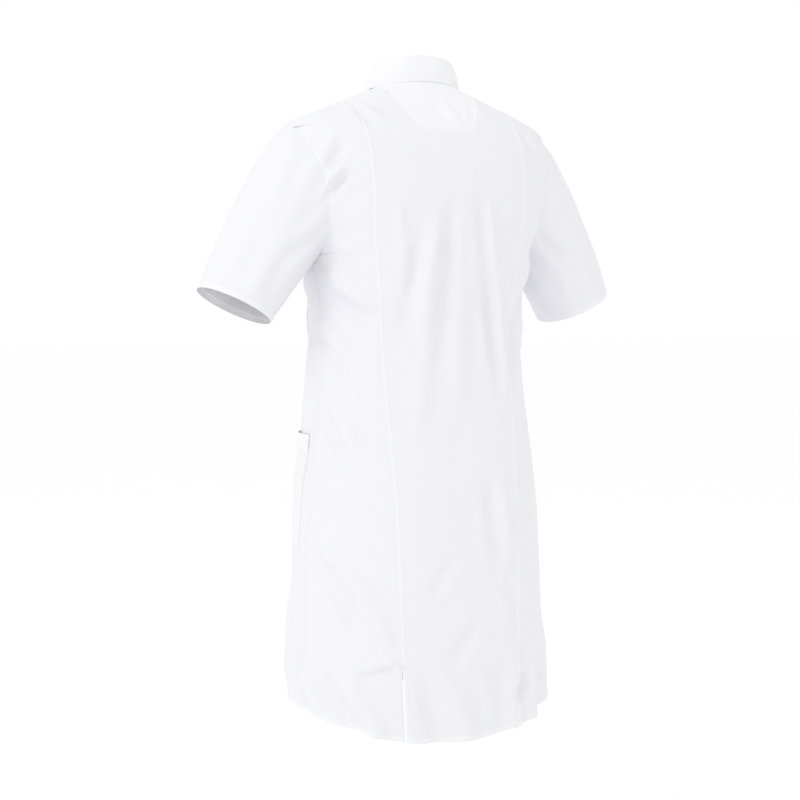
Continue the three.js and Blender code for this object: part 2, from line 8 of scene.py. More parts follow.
# %% Load the frame
import math
import bpy
import numpy as np
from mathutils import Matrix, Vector


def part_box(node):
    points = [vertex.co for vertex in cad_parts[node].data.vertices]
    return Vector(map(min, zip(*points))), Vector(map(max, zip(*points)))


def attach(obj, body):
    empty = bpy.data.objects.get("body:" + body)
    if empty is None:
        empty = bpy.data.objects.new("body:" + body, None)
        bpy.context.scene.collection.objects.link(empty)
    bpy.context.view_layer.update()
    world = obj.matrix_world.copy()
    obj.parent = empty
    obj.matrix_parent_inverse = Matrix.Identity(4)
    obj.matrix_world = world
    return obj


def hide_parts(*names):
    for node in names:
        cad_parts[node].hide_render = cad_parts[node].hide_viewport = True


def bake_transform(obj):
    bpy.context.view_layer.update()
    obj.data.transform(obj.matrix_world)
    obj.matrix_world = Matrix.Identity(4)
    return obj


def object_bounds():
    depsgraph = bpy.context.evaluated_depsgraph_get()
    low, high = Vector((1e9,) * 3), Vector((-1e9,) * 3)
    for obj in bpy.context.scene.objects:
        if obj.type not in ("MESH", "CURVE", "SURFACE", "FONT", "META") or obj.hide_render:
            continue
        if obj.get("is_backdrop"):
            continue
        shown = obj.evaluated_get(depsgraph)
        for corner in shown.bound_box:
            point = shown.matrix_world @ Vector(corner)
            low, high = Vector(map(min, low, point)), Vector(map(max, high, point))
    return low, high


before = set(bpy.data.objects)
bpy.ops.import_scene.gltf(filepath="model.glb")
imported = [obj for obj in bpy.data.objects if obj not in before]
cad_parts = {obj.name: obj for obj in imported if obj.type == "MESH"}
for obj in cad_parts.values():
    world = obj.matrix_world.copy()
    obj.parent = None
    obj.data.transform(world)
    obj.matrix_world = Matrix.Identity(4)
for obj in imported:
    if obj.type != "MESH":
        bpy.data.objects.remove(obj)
cad_low, cad_high = (list(corner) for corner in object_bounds())
print("The coat is", round((cad_high[2] - cad_low[2]) * 1000), "mm high over all")

# %% [markdown]
# ## The view
# The camera stands behind the wearer's left shoulder, level, at chest height, with a long lens, so
# that the coat's upright lines stay upright. The lens is shifted down instead of tilted.

# %% Camera
turn_from_back = math.radians(29)
camera_data = bpy.data.cameras.new("camera")
camera_data.lens = 70.56
camera_data.sensor_width = 36
camera_data.shift_x = -0.02
camera_data.shift_y = -0.12
camera_data.clip_end = 60
camera = bpy.data.objects.new("camera", camera_data)
camera.location = (-1.188, -2.143, -0.337)
camera.rotation_euler = (math.radians(90), 0, -turn_from_back)
bpy.context.scene.collection.objects.link(camera)
bpy.context.scene.camera = camera
print("Camera at", [round(value, 3) for value in camera.location])

# %% [markdown]
# ## Floor and light
# White cloth on a white ground is read by its soft shadows alone. A wide pale sky fills them, one
# large soft light stands high on the wearer's left, and a weaker one keeps the far side from going
# grey. The plain colour transform keeps white cloth white.

# %% Studio
scene = bpy.context.scene
scene.view_settings.view_transform = "Standard"
scene.view_settings.look = "None"
world = bpy.data.worlds.new("studio")
world.use_nodes = True
world.node_tree.nodes["Background"].inputs["Color"].default_value = (1, 1, 1, 1)
world.node_tree.nodes["Background"].inputs["Strength"].default_value = 1.0
scene.world = world


def soft_light(name, place, target, size, power, tint=(1, 1, 1)):
    data = bpy.data.lights.new(name, "AREA")
    data.shape = "DISK"
    data.size = size
    data.energy = power
    data.color = tint
    lamp = bpy.data.objects.new(name, data)
    lamp.location = place
    lamp.rotation_euler = (Vector(target) - Vector(place)).to_track_quat("-Z", "Y").to_euler()
    scene.collection.objects.link(lamp)


soft_light("key", (-3.2, -1.2, 1.6), (0, 0, -0.45), 1.6, 19)
soft_light("front_fill", (1.6, 3.4, 1.2), (0, 0, -0.45), 2.2, 7)

floor_height = cad_low[2] - 0.32
bpy.ops.mesh.primitive_plane_add(size=60, location=(0, 0, floor_height))
floor = bpy.context.object
floor.name = "studio_floor"
paper = bpy.data.materials.new("white_paper_floor")
paper.use_nodes = True
paper_shader = paper.node_tree.nodes["Principled BSDF"]
paper_shader.inputs["Base Color"].default_value = (0.99, 0.99, 0.99, 1)
paper_shader.inputs["Roughness"].default_value = 0.95
floor.data.materials.append(paper)
floor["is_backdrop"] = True
print("The floor is", round(cad_low[2] - floor_height, 2), "m under the hem")

# %% [markdown]
# ## The shape the cloth hangs in
# A worn coat is close to a tube that changes its width and its depth on the way up. The same few
# girths, depths and heights that the pattern is cut to describe it: they are named here in
# millimetres, as on a size chart, and every piece reads them, so that two pieces that are sewn
# together share one seam line exactly.

# %% Sizes of the coat, in millimetres
MM = 0.001
neck_seam_height, shoulder_tip_height, armhole_depth = 980, 905, 192
waist_height, hip_height = 610, 300
hem_half, hip_half, waist_half, underarm_half, shoulder_half, neck_half = 201, 193, 169, 181, 222, 64
hem_back, hip_back, waist_back, blade_back, neck_back = 158, 147, 116, 126, 38
hem_front, chest_front, neck_front = 150, 122, 82
hem_side_rise, hem_front_rise, neck_back_rise, neck_front_drop = 38, 17, 8, 55
seam_hem, seam_waist, seam_blade, front_seam, shoulder_seam = 99, 115, 133, 84, 138
vent_height, side_setback, armhole_waist = 107, 8, 187


# %% A smooth curve through a few sizes
def curve_through(knots, values):
    """Follows the sizes in order and never swings past them, as a draughtsman's curve is drawn."""
    knots, values = np.array(knots, float), np.array(values, float)
    slope = np.diff(values) / np.diff(knots)
    turn = slope[:-1] * slope[1:]
    total = slope[:-1] + slope[1:]
    inner = np.where(turn <= 0, 0, 2 * turn / np.where(total == 0, 1, total))
    tangent = np.concatenate([slope[:1], inner, slope[-1:]])

    def curve(at):
        x = np.clip(at, knots[0], knots[-1])
        i = np.clip(np.searchsorted(knots, x) - 1, 0, len(knots) - 2)
        span = knots[i + 1] - knots[i]
        u = (x - knots[i]) / span
        ease = u * u * (3 - 2 * u)
        return (values[i] * (1 - ease) + values[i + 1] * ease
                + span * tangent[i] * u * (1 - u) ** 2 - span * tangent[i + 1] * u * u * (1 - u))
    return curve


def level_where(curve, value, low, high):
    """The level at which a size that only grows or only shrinks has a given value."""
    growing = curve(high) > curve(low)
    for _ in range(40):
        middle = (low + high) / 2
        if (curve(middle) < value) == growing:
            low = middle
        else:
            high = middle
    return low


# %% The trunk: an angle round the body and a distance up the cloth give a point
underarm = shoulder_tip_height - armhole_depth
blade, yoke = underarm + armhole_depth * 0.42, underarm + armhole_depth * 0.74
shoulder_run = shoulder_half - neck_half
neck_level = shoulder_tip_height + shoulder_run * 1.06
levels = [0, hip_height, waist_height, underarm, blade, yoke, shoulder_tip_height,
          shoulder_tip_height + shoulder_run * 0.5, neck_level]
back_neck = neck_seam_height + neck_back_rise
front_neck = neck_seam_height - neck_front_drop


def front_hang(height):
    return hem_front - (hem_front - chest_front) * height / underarm


side_height = curve_through(levels, [
    hem_side_rise, hip_height, waist_height, underarm, blade, yoke, shoulder_tip_height,
    shoulder_tip_height + (neck_seam_height - shoulder_tip_height) * 0.52, neck_seam_height])
back_height = curve_through(levels, [
    0, hip_height, waist_height, underarm + 4, blade + 8, yoke + 12,
    back_neck - 60, back_neck - 27, back_neck])
front_height = curve_through(levels, [
    hem_front_rise, hip_height, waist_height, underarm - 3, blade - 10, yoke - 18,
    front_neck - 43, front_neck - 20, front_neck])
half_width = curve_through(levels, [
    hem_half, hip_half, waist_half, underarm_half, shoulder_half - 5, shoulder_half + 4,
    shoulder_half, neck_half + shoulder_run * 0.54, neck_half])
back_depth = curve_through(levels, [
    hem_back, hip_back, waist_back, blade_back - 2, blade_back, blade_back - 8,
    neck_back + 46, neck_back + 25, neck_back])
front_depth = curve_through(levels, [
    hem_front, front_hang(hip_height), front_hang(waist_height), chest_front, chest_front - 3,
    chest_front - 14, neck_front + 18, neck_front + 8, neck_front])
squareness = curve_through([0, shoulder_tip_height, neck_level], [2.45, 2.45, 2.05])


def body_point(angle, up):
    """Angle 0 is the wearer's right, a quarter turn the front and minus a quarter turn the back."""
    c, s = np.cos(angle), np.sin(angle)
    power = 2 / squareness(up)
    depth = np.where(s > 0, front_depth(up), back_depth(up))
    middle = np.where(s > 0, front_height(up), back_height(up))
    x = half_width(up) * np.sign(c) * np.abs(c) ** power
    y = depth * np.sign(s) * np.abs(s) ** power
    z = side_height(up) + (middle - side_height(up)) * s * s - neck_seam_height
    return np.stack(np.broadcast_arrays(x, y, z), -1)


def unit(vectors):
    return vectors / np.maximum(np.linalg.norm(vectors, axis=-1, keepdims=True), 1e-9)


def body_normal(angle, up):
    turn, rise = 0.02, 4
    along = body_point(angle + turn, up) - body_point(angle - turn, up)
    climb = (body_point(angle, np.minimum(up + rise, neck_level))
             - body_point(angle, np.maximum(up - rise, 0)))
    return unit(np.cross(along, climb))


def angle_at_x(x, up, front):
    """The angle at which the surface is a given distance from the middle plane."""
    share = np.clip(np.abs(x) / half_width(up), 0, 1)
    quarter = np.arccos(share ** (squareness(up) / 2))
    turn = np.where(np.asarray(x) >= 0, quarter, math.pi - quarter)
    return turn if front else -turn


print("The trunk is", round(2 * half_width(waist_height)), "mm across at the waist")

# %% [markdown]
# ## Folds
# Cloth that is worn is never smooth: it breaks where it hangs from the shoulder blades, where the
# underarm pulls, and where the hem swings free. Each fold here is a soft crest with a hollow on
# either side of it, laid along a short line on the body, which is given as places (degrees round
# the body, level up the cloth), how wide it is and how high it stands. One list for the whole coat
# lets a fold run over a seam from one piece to the next, as it does in cloth.

# %% Folds and ripples of the trunk
def on_body(places):
    angles = np.radians([place[0] for place in places])
    ups = np.array([place[1] for place in places], float)
    return body_point(angles, ups)


def soft_line(points, count=15):
    """A line through two or three places, as points close together."""
    share = np.linspace(0, 1, count)[:, None]
    if len(points) == 2:
        return points[0] * (1 - share) + points[1] * share
    first, middle, last = points
    pull = 2 * middle - (first + last) / 2
    return first * (1 - share) ** 2 + pull * 2 * share * (1 - share) + last * share ** 2


back_folds = [
    # pulls from the left armhole and the neck
    ([(-148, 796), (-140, 814), (-133, 830)], 7, -3.4), ([(-150, 802), (-142, 824), (-132, 842)], 8, 3.0),
    ([(-147, 831), (-139, 854), (-132, 874)], 8, -2.4), ([(-151, 845), (-143, 868), (-134, 886)], 8, 2.0),
    ([(-150, 1000), (-118, 933), (-106, 897)], 8, -2.6), ([(-142, 985), (-116, 917), (-103, 890)], 7, 2.4),
    ([(-138, 963), (-121, 906), (-115, 880)], 7, -1.8), ([(-90, 972), (-88, 925), (-85, 888)], 9, 2.0),
    ([(-75, 972), (-78, 925), (-80, 892)], 8, -1.8),
    # the left side, from the underarm into the waist
    ([(-172, 696), (-148, 662), (-121, 628)], 12, 3.6), ([(-172, 668), (-150, 636), (-128, 612)], 11, -3.4),
    ([(-181, 632), (-163, 590), (-143, 560)], 12, 3.0), ([(-181, 612), (-164, 570), (-148, 536)], 11, -2.8),
    ([(-170, 560), (-150, 520), (-138, 486)], 13, 2.0), ([(-160, 742), (-148, 726), (-134, 716)], 10, 1.4),
    # the hanging folds of the centre back
    ([(-91, 800), (-93, 691), (-96, 520)], 11, -3.6), ([(-96, 770), (-101, 690), (-107, 560)], 13, 3.0),
    ([(-104, 740), (-107, 697), (-110, 640)], 9, -2.6), ([(-99, 700), (-103, 560), (-108, 420)], 16, 2.0),
    ([(-86, 700), (-88, 600), (-90, 450)], 15, 2.0), ([(-83, 810), (-76, 692), (-66, 500)], 10, -3.0),
    ([(-79, 800), (-72, 690), (-62, 540)], 11, 2.6), ([(-75, 680), (-70, 600), (-66, 470)], 9, -2.4),
    ([(-69, 720), (-64, 610), (-60, 500)], 9, 2.2), ([(-112, 800), (-113, 740), (-114, 680)], 8, 1.2),
    # the right side and underarm
    ([(-49, 660), (-50, 588), (-53, 500)], 10, -2.8), ([(-43, 640), (-45, 570), (-49, 480)], 11, 2.4),
    ([(-55, 893), (-47, 866), (-32, 838)], 8, -2.4), ([(-50, 905), (-41, 880), (-24, 852)], 8, 2.2),
    ([(-30, 800), (-36, 770), (-46, 742)], 10, -2.0), ([(-22, 724), (-34, 690), (-50, 664)], 12, 2.8),
    ([(-20, 690), (-34, 652), (-50, 620)], 11, -2.4), ([(-14, 640), (-30, 600), (-44, 570)], 12, 2.0),
    # the skirt
    ([(-176, 500), (-159, 450), (-147, 398)], 13, -3.4), ([(-170, 520), (-152, 466), (-141, 420)], 13, 2.6),
    ([(-172, 398), (-167, 347), (-159, 292)], 12, -2.2), ([(-177, 275), (-152, 219), (-131, 128)], 17, -4.6),
    ([(-170, 300), (-146, 240), (-125, 160)], 16, 3.2), ([(-170, 110), (-158, 50), (-140, 8)], 16, -5.0),
    ([(-182, 90), (-171, 40), (-160, 0)], 14, 3.6), ([(-150, 120), (-141, 60), (-130, 4)], 14, 3.2),
    ([(-140, 82), (-127, 97), (-117, 106)], 7, -2.2), ([(-136, 98), (-126, 112), (-117, 120)], 7, 1.6),
    ([(-129, 172), (-124, 157), (-120, 138)], 5, 1.6),
    ([(-78, 390), (-78, 315), (-73, 235)], 12, -2.4), ([(-72, 400), (-71, 320), (-67, 240)], 13, 2.2),
    ([(-73, 237), (-68, 195), (-63, 150)], 10, -2.2), ([(-95, 108), (-90, 144), (-84, 172)], 11, -1.8),
    ([(-103, 206), (-97, 242), (-91, 282)], 11, -1.4), ([(-110, 130), (-104, 70), (-100, 0)], 16, -3.2),
    ([(-98, 110), (-92, 50), (-90, 0)], 18, 3.4), ([(-80, 120), (-77, 60), (-76, 0)], 15, -2.8),
    ([(-68, 30), (-63, 55), (-57, 90)], 11, -3.4), ([(-58, 110), (-55, 50), (-54, 0)], 13, 3.0),
    ([(-40, 130), (-43, 60), (-45, 0)], 14, -3.0), ([(-24, 160), (-28, 80), (-30, 0)], 16, 3.4),
]
front_folds = [
    # the fronts and sides, each made once and mirrored
    ([(24, 706), (44, 672), (58, 640)], 12, 2.6), ([(20, 676), (40, 640), (56, 612)], 11, -2.4),
    ([(38, 800), (48, 770), (60, 742)], 10, -2.0), ([(44, 838), (52, 812), (63, 790)], 11, 2.2),
    ([(50, 890), (58, 862), (66, 838)], 10, -1.8), ([(28, 560), (40, 500), (46, 470)], 13, 2.0),
    ([(8, 620), (14, 540), (16, 460)], 14, 2.4), ([(-2, 560), (2, 470), (4, 380)], 14, -2.6),
    ([(10, 250), (16, 130), (18, 0)], 17, 3.6), ([(-4, 200), (2, 90), (3, 0)], 16, -3.6),
    ([(26, 220), (32, 110), (34, 0)], 16, -3.2), ([(46, 230), (49, 110), (50, 0)], 17, 3.4),
    ([(60, 240), (63, 110), (64, 0)], 16, -3.0), ([(70, 560), (69, 420), (68, 300)], 16, 2.0),
    ([(62, 620), (61, 500), (60, 380)], 13, -2.2), ([(74, 300), (74, 160), (75, 60)], 15, -1.8),
    ([(66, 760), (66, 690), (65, 600)], 12, 1.8), ([(58, 740), (60, 690), (62, 610)], 10, -1.6),
]


def mirror_places(places):
    return [(180 - angle, up) for angle, up in places]


folds = [(soft_line(on_body(places)), width, height) for places, width, height in back_folds]
for places, width, height in front_folds:
    folds.append((soft_line(on_body(places)), width, height))
    shifted = [(angle, max(up - 14, 0)) for angle, up in mirror_places(places)]
    folds.append((soft_line(on_body(shifted)), width * 1.1, height * 0.9))
print(len(folds), "folds on the trunk")


def fold_height(points, fold_list):
    """How far the folds move each point along its normal, in millimetres."""
    flat = points.reshape(-1, 3)
    total = np.zeros(len(flat))
    for line, width, height in fold_list:
        reach = 3.2 * width
        low, high = line.min(0) - reach, line.max(0) + reach
        near = np.flatnonzero(((flat > low) & (flat < high)).all(1))
        if not len(near):
            continue
        spot = flat[near]
        best = np.full(len(near), 1e9)
        along = np.zeros(len(near))
        for i in range(len(line) - 1):
            step = line[i + 1] - line[i]
            share = np.clip((spot - line[i]) @ step / (step @ step), 0, 1)
            gap = np.linalg.norm(spot - line[i] - share[:, None] * step, axis=1)
            closer = gap < best
            best = np.where(closer, gap, best)
            along = np.where(closer, (i + share) / (len(line) - 1), along)
        across = best / width
        crest = np.exp(-across ** 2) - 0.28 * np.exp(-((across - 1.9) / 0.9) ** 2)
        ends = np.clip(along / 0.3, 0, 1) * np.clip((1 - along) / 0.3, 0, 1)
        at_hem = line[:, 2].min() < 30 - neck_seam_height
        if at_hem:
            ends = np.clip(np.where(line[0, 2] > line[-1, 2], along, 1 - along) / 0.5, 0, 1)
        total[near] += height * crest * ends * ends * (3 - 2 * ends)
    return total.reshape(points.shape[:-1])


def ripple(points, seed=0.0):
    """The faint unevenness of woven cloth that has been washed: long, low waves down the warp."""
    x, y, z = points[..., 0], points[..., 1], points[..., 2]
    wave = (np.sin(x / 23 + 1.9 * np.sin(z / 150 + seed) + y / 31)
            + 0.7 * np.sin(x / 13 - y / 17 + 2.3 * np.sin(z / 95 + 1.3 + seed))
            + 0.5 * np.sin(z / 41 + 1.6 * np.sin(x / 37 + seed) + y / 29)
            + 0.35 * np.sin(x / 7.3 + y / 9.1 + 1.4 * np.sin(z / 61)))
    return 0.5 * wave


def calm(points):
    """1 where folds are free, and 0 round the closure and the neck seam, where the cloth is held."""
    closure = np.clip((np.abs(points[..., 0]) - 30) / 30, 0, 1)
    closure = np.where(points[..., 1] > 0, closure, 1)
    neck = np.clip((2 - points[..., 2]) / 60, 0, 1)
    free = closure * neck
    return free * free * (3 - 2 * free)


fold_gain = 1.9


def trunk_point(angle, up, lift):
    """A place on the worn cloth: the body's surface, its folds, and its layer."""
    base = body_point(angle, up)
    moved = lift + calm(base) * (fold_gain * fold_height(base, folds) + ripple(base))
    return base + body_normal(angle, up) * moved[..., None]


# %% [markdown]
# ## From a grid to a piece of cloth
# A cut piece becomes a grid of rows up the body and columns across it. The columns stand close
# together at a seam or a hem, where the cloth is folded over itself and stitched, and further apart
# in the open. The outside grid is copied inwards by the cloth's thickness and the edges are closed,
# so each piece is a real sheet with two faces. A UV map in metres of cloth lets the weave follow it.

# %% Grids of cloth
cloth = 0.7
hem_width, hem_raise, stitch_inset = 9.0, 0.75, 1.4
seam_width, seam_raise = 6.0, 0.9
threads = {}


def spread(low, high, step, fine_low=(), fine_high=()):
    """Stations from low to high, with fine ones near either end."""
    first = low + max(fine_low, default=0)
    last = high - max(fine_high, default=0)
    count = max(2, int(round((last - first) / step)) + 1)
    middle = np.linspace(first, last, count)
    stations = np.concatenate([low + np.array(fine_low), middle, high - np.array(fine_high)])
    return np.unique(np.round(stations, 4))


def across(ups, start, end, step, fine_start=(), fine_end=()):
    """The angles of the columns on each row, by distance along the cloth from either edge."""
    share = np.linspace(0, 1, 161)
    angles = start[:, None] + (end - start)[:, None] * share
    points = body_point(angles, ups[:, None])
    run = np.linalg.norm(np.diff(points, axis=1), axis=2)
    run = np.concatenate([np.zeros((len(ups), 1)), np.cumsum(run, axis=1)], axis=1)
    total = run[:, -1]
    fine_start, fine_end = np.array(fine_start, float), np.array(fine_end, float)
    band_start = fine_start.max() if len(fine_start) else 0
    band_end = fine_end.max() if len(fine_end) else 0
    count = max(3, int(round((total.max() - band_start - band_end) / step)) + 1)
    inner = np.linspace(0, 1, count)
    stations = []
    for width in total:
        squeeze = min(1, 0.45 * width / max(band_start, band_end, 1e-6))
        low, high = band_start * squeeze, width - band_end * squeeze
        stations.append(np.concatenate([fine_start[:-1] * squeeze if len(fine_start) else [],
                                        low + (high - low) * inner,
                                        (width - fine_end[:-1] * squeeze)[::-1] if len(fine_end) else []]))
    stations = np.array(stations)
    columns = np.array([np.interp(stations[r], run[r], angles[r]) for r in range(len(ups))])
    return columns, stations, total[:, None] - stations


def raised(distance, width, height):
    """A folded edge: its full height up to its width, and a small step down to the single cloth."""
    step = np.clip((width + 0.7 - distance) / 1.4, 0, 1)
    round_edge = np.clip(distance / 0.8, 0, 1)
    groove = 0.35 * np.exp(-((distance - width + stitch_inset) / 0.7) ** 2)
    return height * (step * step * (3 - 2 * step) * (0.45 + 0.55 * round_edge) - groove)


def pucker(distance, along, width, phase=0.0):
    """Small gathers that a row of stitches leaves in the cloth beside it."""
    fade = np.exp(-((distance - width) / 9.0) ** 2)
    return 0.34 * fade * np.sin(along / 2.5 + 1.7 * np.sin(along / 23 + phase) + phase)


def grid_normals(grid):
    down = np.gradient(grid, axis=0)
    over = np.gradient(grid, axis=1)
    return unit(np.cross(over, down))


def grid_to_cloth(name, outer, thickness=cloth, outward=None, around=False, double=None):
    """Closes a grid of points, in millimetres, into a sheet with two faces and its edges."""
    normals = grid_normals(outer)
    if around:
        wrapped = np.concatenate([outer[:, -2:-1], outer, outer[:, 1:2]], axis=1)
        normals = grid_normals(wrapped)[:, 1:-1]
    if outward is not None and (normals * outward).sum() < 0:
        normals = -normals
    inner = outer - normals * thickness
    rows, columns = outer.shape[:2]
    index = np.arange(rows * columns).reshape(rows, columns)
    offset = rows * columns
    left, right = index[:, :-1], index[:, 1:]
    top = np.stack([left[:-1], right[:-1], right[1:], left[1:]], -1).reshape(-1, 4)
    rims = [np.stack([left[0], left[0] + offset, right[0] + offset, right[0]], -1),
            np.stack([left[-1], right[-1], right[-1] + offset, left[-1] + offset], -1)]
    if not around:
        first, last = index[:, 0], index[:, -1]
        rims.append(np.stack([first[:-1], first[1:], first[1:] + offset, first[:-1] + offset], -1))
        rims.append(np.stack([last[:-1], last[:-1] + offset, last[1:] + offset, last[1:]], -1))
    faces = np.concatenate([top, top[:, ::-1] + offset, *rims])
    points = np.concatenate([outer.reshape(-1, 3), inner.reshape(-1, 3)])
    volume = 0
    for corners in ((0, 1, 2), (0, 2, 3)):
        p = points[faces[:, corners]]
        volume += (p[:, 0] * np.cross(p[:, 1], p[:, 2])).sum()
    if volume < 0:
        faces = faces[:, ::-1]
    flat = np.concatenate([cloth_coordinates(outer).reshape(-1, 2)] * 2) * MM
    joined = np.arange(2 * offset)
    if around:
        joined[index[:, -1]] = index[:, 0]
        joined[index[:, -1] + offset] = index[:, 0] + offset
    kept, used = np.unique(joined[faces], return_inverse=True)
    mesh = bpy.data.meshes.new(name)
    mesh.from_pydata((points[kept] * MM).tolist(), [], used.reshape(-1, 4).tolist())
    mesh.shade_smooth()
    mesh.set_sharp_from_angle(angle=math.radians(50))
    layer = mesh.uv_layers.new(name="cloth")
    layer.data.foreach_set("uv", flat[faces.ravel()].astype(np.float32).ravel())
    # Layer count per point, read by the cloth finish to paint a shade on single cloth and the whiter colour
    # on doubled cloth
    doubled = np.zeros(2 * offset) if double is None else np.concatenate([double.ravel()] * 2)
    plies = mesh.attributes.new("plies", "FLOAT", "POINT")
    plies.data.foreach_set("value", doubled[kept].astype(np.float32))
    piece = bpy.data.objects.new(name, mesh)
    scene.collection.objects.link(piece)
    return piece


def cloth_coordinates(grid):
    """Distances over and up the cloth, so that the weave keeps its size."""
    over = np.linalg.norm(np.diff(grid, axis=1), axis=2)
    over = np.concatenate([np.zeros((len(grid), 1)), np.cumsum(over, axis=1)], axis=1)
    over = over - over[:, over.shape[1] // 2][:, None]
    up = np.linalg.norm(np.diff(grid, axis=0), axis=2).mean(1)
    up = np.concatenate([[0], np.cumsum(up)])
    return np.stack(np.broadcast_arrays(over, up[:, None]), -1)


def grid_area(grid):
    a, b = np.diff(grid, axis=1)[:-1], np.diff(grid, axis=0)[:, :-1]
    return np.linalg.norm(np.cross(a, b), axis=2).sum() * MM * MM


def flat_size(grid):
    """The widest row and the longest column of a grid, and its area, in metres."""
    width = np.linalg.norm(np.diff(grid, axis=1), axis=2).sum(1).max() * MM
    length = np.linalg.norm(np.diff(grid, axis=0), axis=2).sum(0).max() * MM
    return width, length, grid_area(grid)


# %% [markdown]
# ## Stitches
# A top-stitched edge shows a row of short threads, each dipping back into the cloth. One stitch is a
# thin bar with six faces round its waist; a row of them is laid along a line of the grid, a little
# above the cloth. All the rows that move together are joined into one mesh for each moving piece.

# %% A row of stitches
stitch_length, stitch_pitch, stitch_half = 2.5, 3.3, 0.24


def stitch_row(line, normals):
    """Corner points of the stitches that follow a line, each a bar of 3 rings of 4 points."""
    run = np.concatenate([[0], np.cumsum(np.linalg.norm(np.diff(line, axis=0), axis=1))])
    count = int(run[-1] // stitch_pitch)
    if count < 1:
        return np.zeros((0, 12, 3))
    starts = (np.arange(count) + 0.12) * stitch_pitch
    rings = []
    for share, size, lift in ((0, 0.35, -0.06), (0.5, 1.0, 0.16), (1, 0.35, -0.06)):
        at = starts + share * stitch_length
        centre = np.stack([np.interp(at, run, line[:, k]) for k in range(3)], 1)
        normal = unit(np.stack([np.interp(at, run, normals[:, k]) for k in range(3)], 1))
        ahead = np.stack([np.interp(at + 0.5, run, line[:, k]) for k in range(3)], 1)
        back = np.stack([np.interp(at - 0.5, run, line[:, k]) for k in range(3)], 1)
        side = unit(np.cross(normal, unit(ahead - back)))
        centre = centre + normal * lift
        for a, b in ((1, 0), (0, 1), (-1, 0), (0, -1)):
            rings.append(centre + (side * a + normal * b) * stitch_half * size)
    return np.stack(rings, 1)


def sew(group, line, normals):
    threads.setdefault(group, []).append(stitch_row(line, normals))


def sew_row(group, grid, row, outward=None):
    normals = grid_normals(grid)[row]
    if outward is not None and (normals * outward).sum() < 0:
        normals = -normals
    sew(group, grid[row], normals)


def thread_piece(name, group):
    bars = np.concatenate(threads[group])
    points = bars.reshape(-1, 3)
    sides = [(4 * r + k, 4 * r + (k + 1) % 4, 4 * r + 4 + (k + 1) % 4, 4 * r + 4 + k)
             for r in range(2) for k in range(4)]
    faces = np.array(sides + [(3, 2, 1, 0), (8, 9, 10, 11)])
    faces = (faces[None] + 12 * np.arange(len(bars))[:, None, None]).reshape(-1, 4)
    mesh = bpy.data.meshes.new(name)
    mesh.from_pydata((points * MM).tolist(), [], faces.tolist())
    mesh.update()
    mesh.shade_smooth()
    piece = bpy.data.objects.new(name, mesh)
    scene.collection.objects.link(piece)
    print(name, len(bars), "stitches")
    return piece


# %% [markdown]
# ## The finishes
# The cloth is a plain weave of polyester and cotton, white with the faintest violet of the optical
# brightener that laundries and mills use. Where it lies in two or three layers it lets less light
# through and looks whiter; this is painted into the base colour, as a painted shade on single cloth
# where the shaded inside of the coat would show through it. The weave is a shader group: threads
# cross at a fixed pitch in the UV map's metres, and uneven yarn shows as slubs. The same group serves
# cloth, tape and label.

# %% The weave group
def new_group(name, inputs, outputs):
    group = bpy.data.node_groups.new(name, "ShaderNodeTree")
    for label, value in inputs:
        socket = group.interface.new_socket(name=label, in_out="INPUT", socket_type="NodeSocketFloat")
        socket.default_value = value
    for label in outputs:
        group.interface.new_socket(name=label, in_out="OUTPUT", socket_type="NodeSocketFloat")
    return group, group.nodes.new("NodeGroupInput"), group.nodes.new("NodeGroupOutput")


def maths(tree, operation, first, second=None, third=None):
    node = tree.nodes.new("ShaderNodeMath")
    node.operation = operation
    for socket, value in zip(node.inputs, (first, second, third)):
        if value is None:
            continue
        if isinstance(value, (int, float)):
            socket.default_value = value
        else:
            tree.links.new(value, socket)
    return node.outputs[0]


def noise(tree, vector, scale, detail=2.0):
    node = tree.nodes.new("ShaderNodeTexNoise")
    node.inputs["Scale"].default_value = scale
    node.inputs["Detail"].default_value = detail
    tree.links.new(vector, node.inputs["Vector"])
    return node.outputs["Fac"]


def stretched(tree, vector, x, y, z=1.0):
    node = tree.nodes.new("ShaderNodeMapping")
    node.inputs["Scale"].default_value = (x, y, z)
    tree.links.new(vector, node.inputs["Vector"])
    return node.outputs["Vector"]


weave_pitch_input = [("Threads per metre", 2100.0)]
weave, weave_in, weave_out = new_group("Plain weave", weave_pitch_input, ["Height", "Slub", "Wear"])
cloth_map = weave.nodes.new("ShaderNodeUVMap")
cloth_map.uv_map = "cloth"
parts = weave.nodes.new("ShaderNodeSeparateXYZ")
weave.links.new(cloth_map.outputs["UV"], parts.inputs["Vector"])
turns = maths(weave, "MULTIPLY", weave_in.outputs["Threads per metre"], math.pi)
warp = maths(weave, "SINE", maths(weave, "MULTIPLY", parts.outputs["X"], turns))
weft = maths(weave, "SINE", maths(weave, "MULTIPLY", parts.outputs["Y"], turns))
crossing = maths(weave, "MULTIPLY", warp, weft)
slub = maths(weave, "ADD", noise(weave, stretched(weave, cloth_map.outputs["UV"], 900, 28), 1.0),
             noise(weave, stretched(weave, cloth_map.outputs["UV"], 24, 1000), 1.0))
weave.links.new(maths(weave, "ADD", maths(weave, "MULTIPLY", crossing, 0.5),
                      maths(weave, "MULTIPLY", slub, 0.9)), weave_out.inputs["Height"])
weave.links.new(maths(weave, "MULTIPLY", slub, 0.5), weave_out.inputs["Slub"])
place = weave.nodes.new("ShaderNodeTexCoord")
weave.links.new(noise(weave, place.outputs["Object"], 6.5, 4.0), weave_out.inputs["Wear"])
print("Plain weave group made")


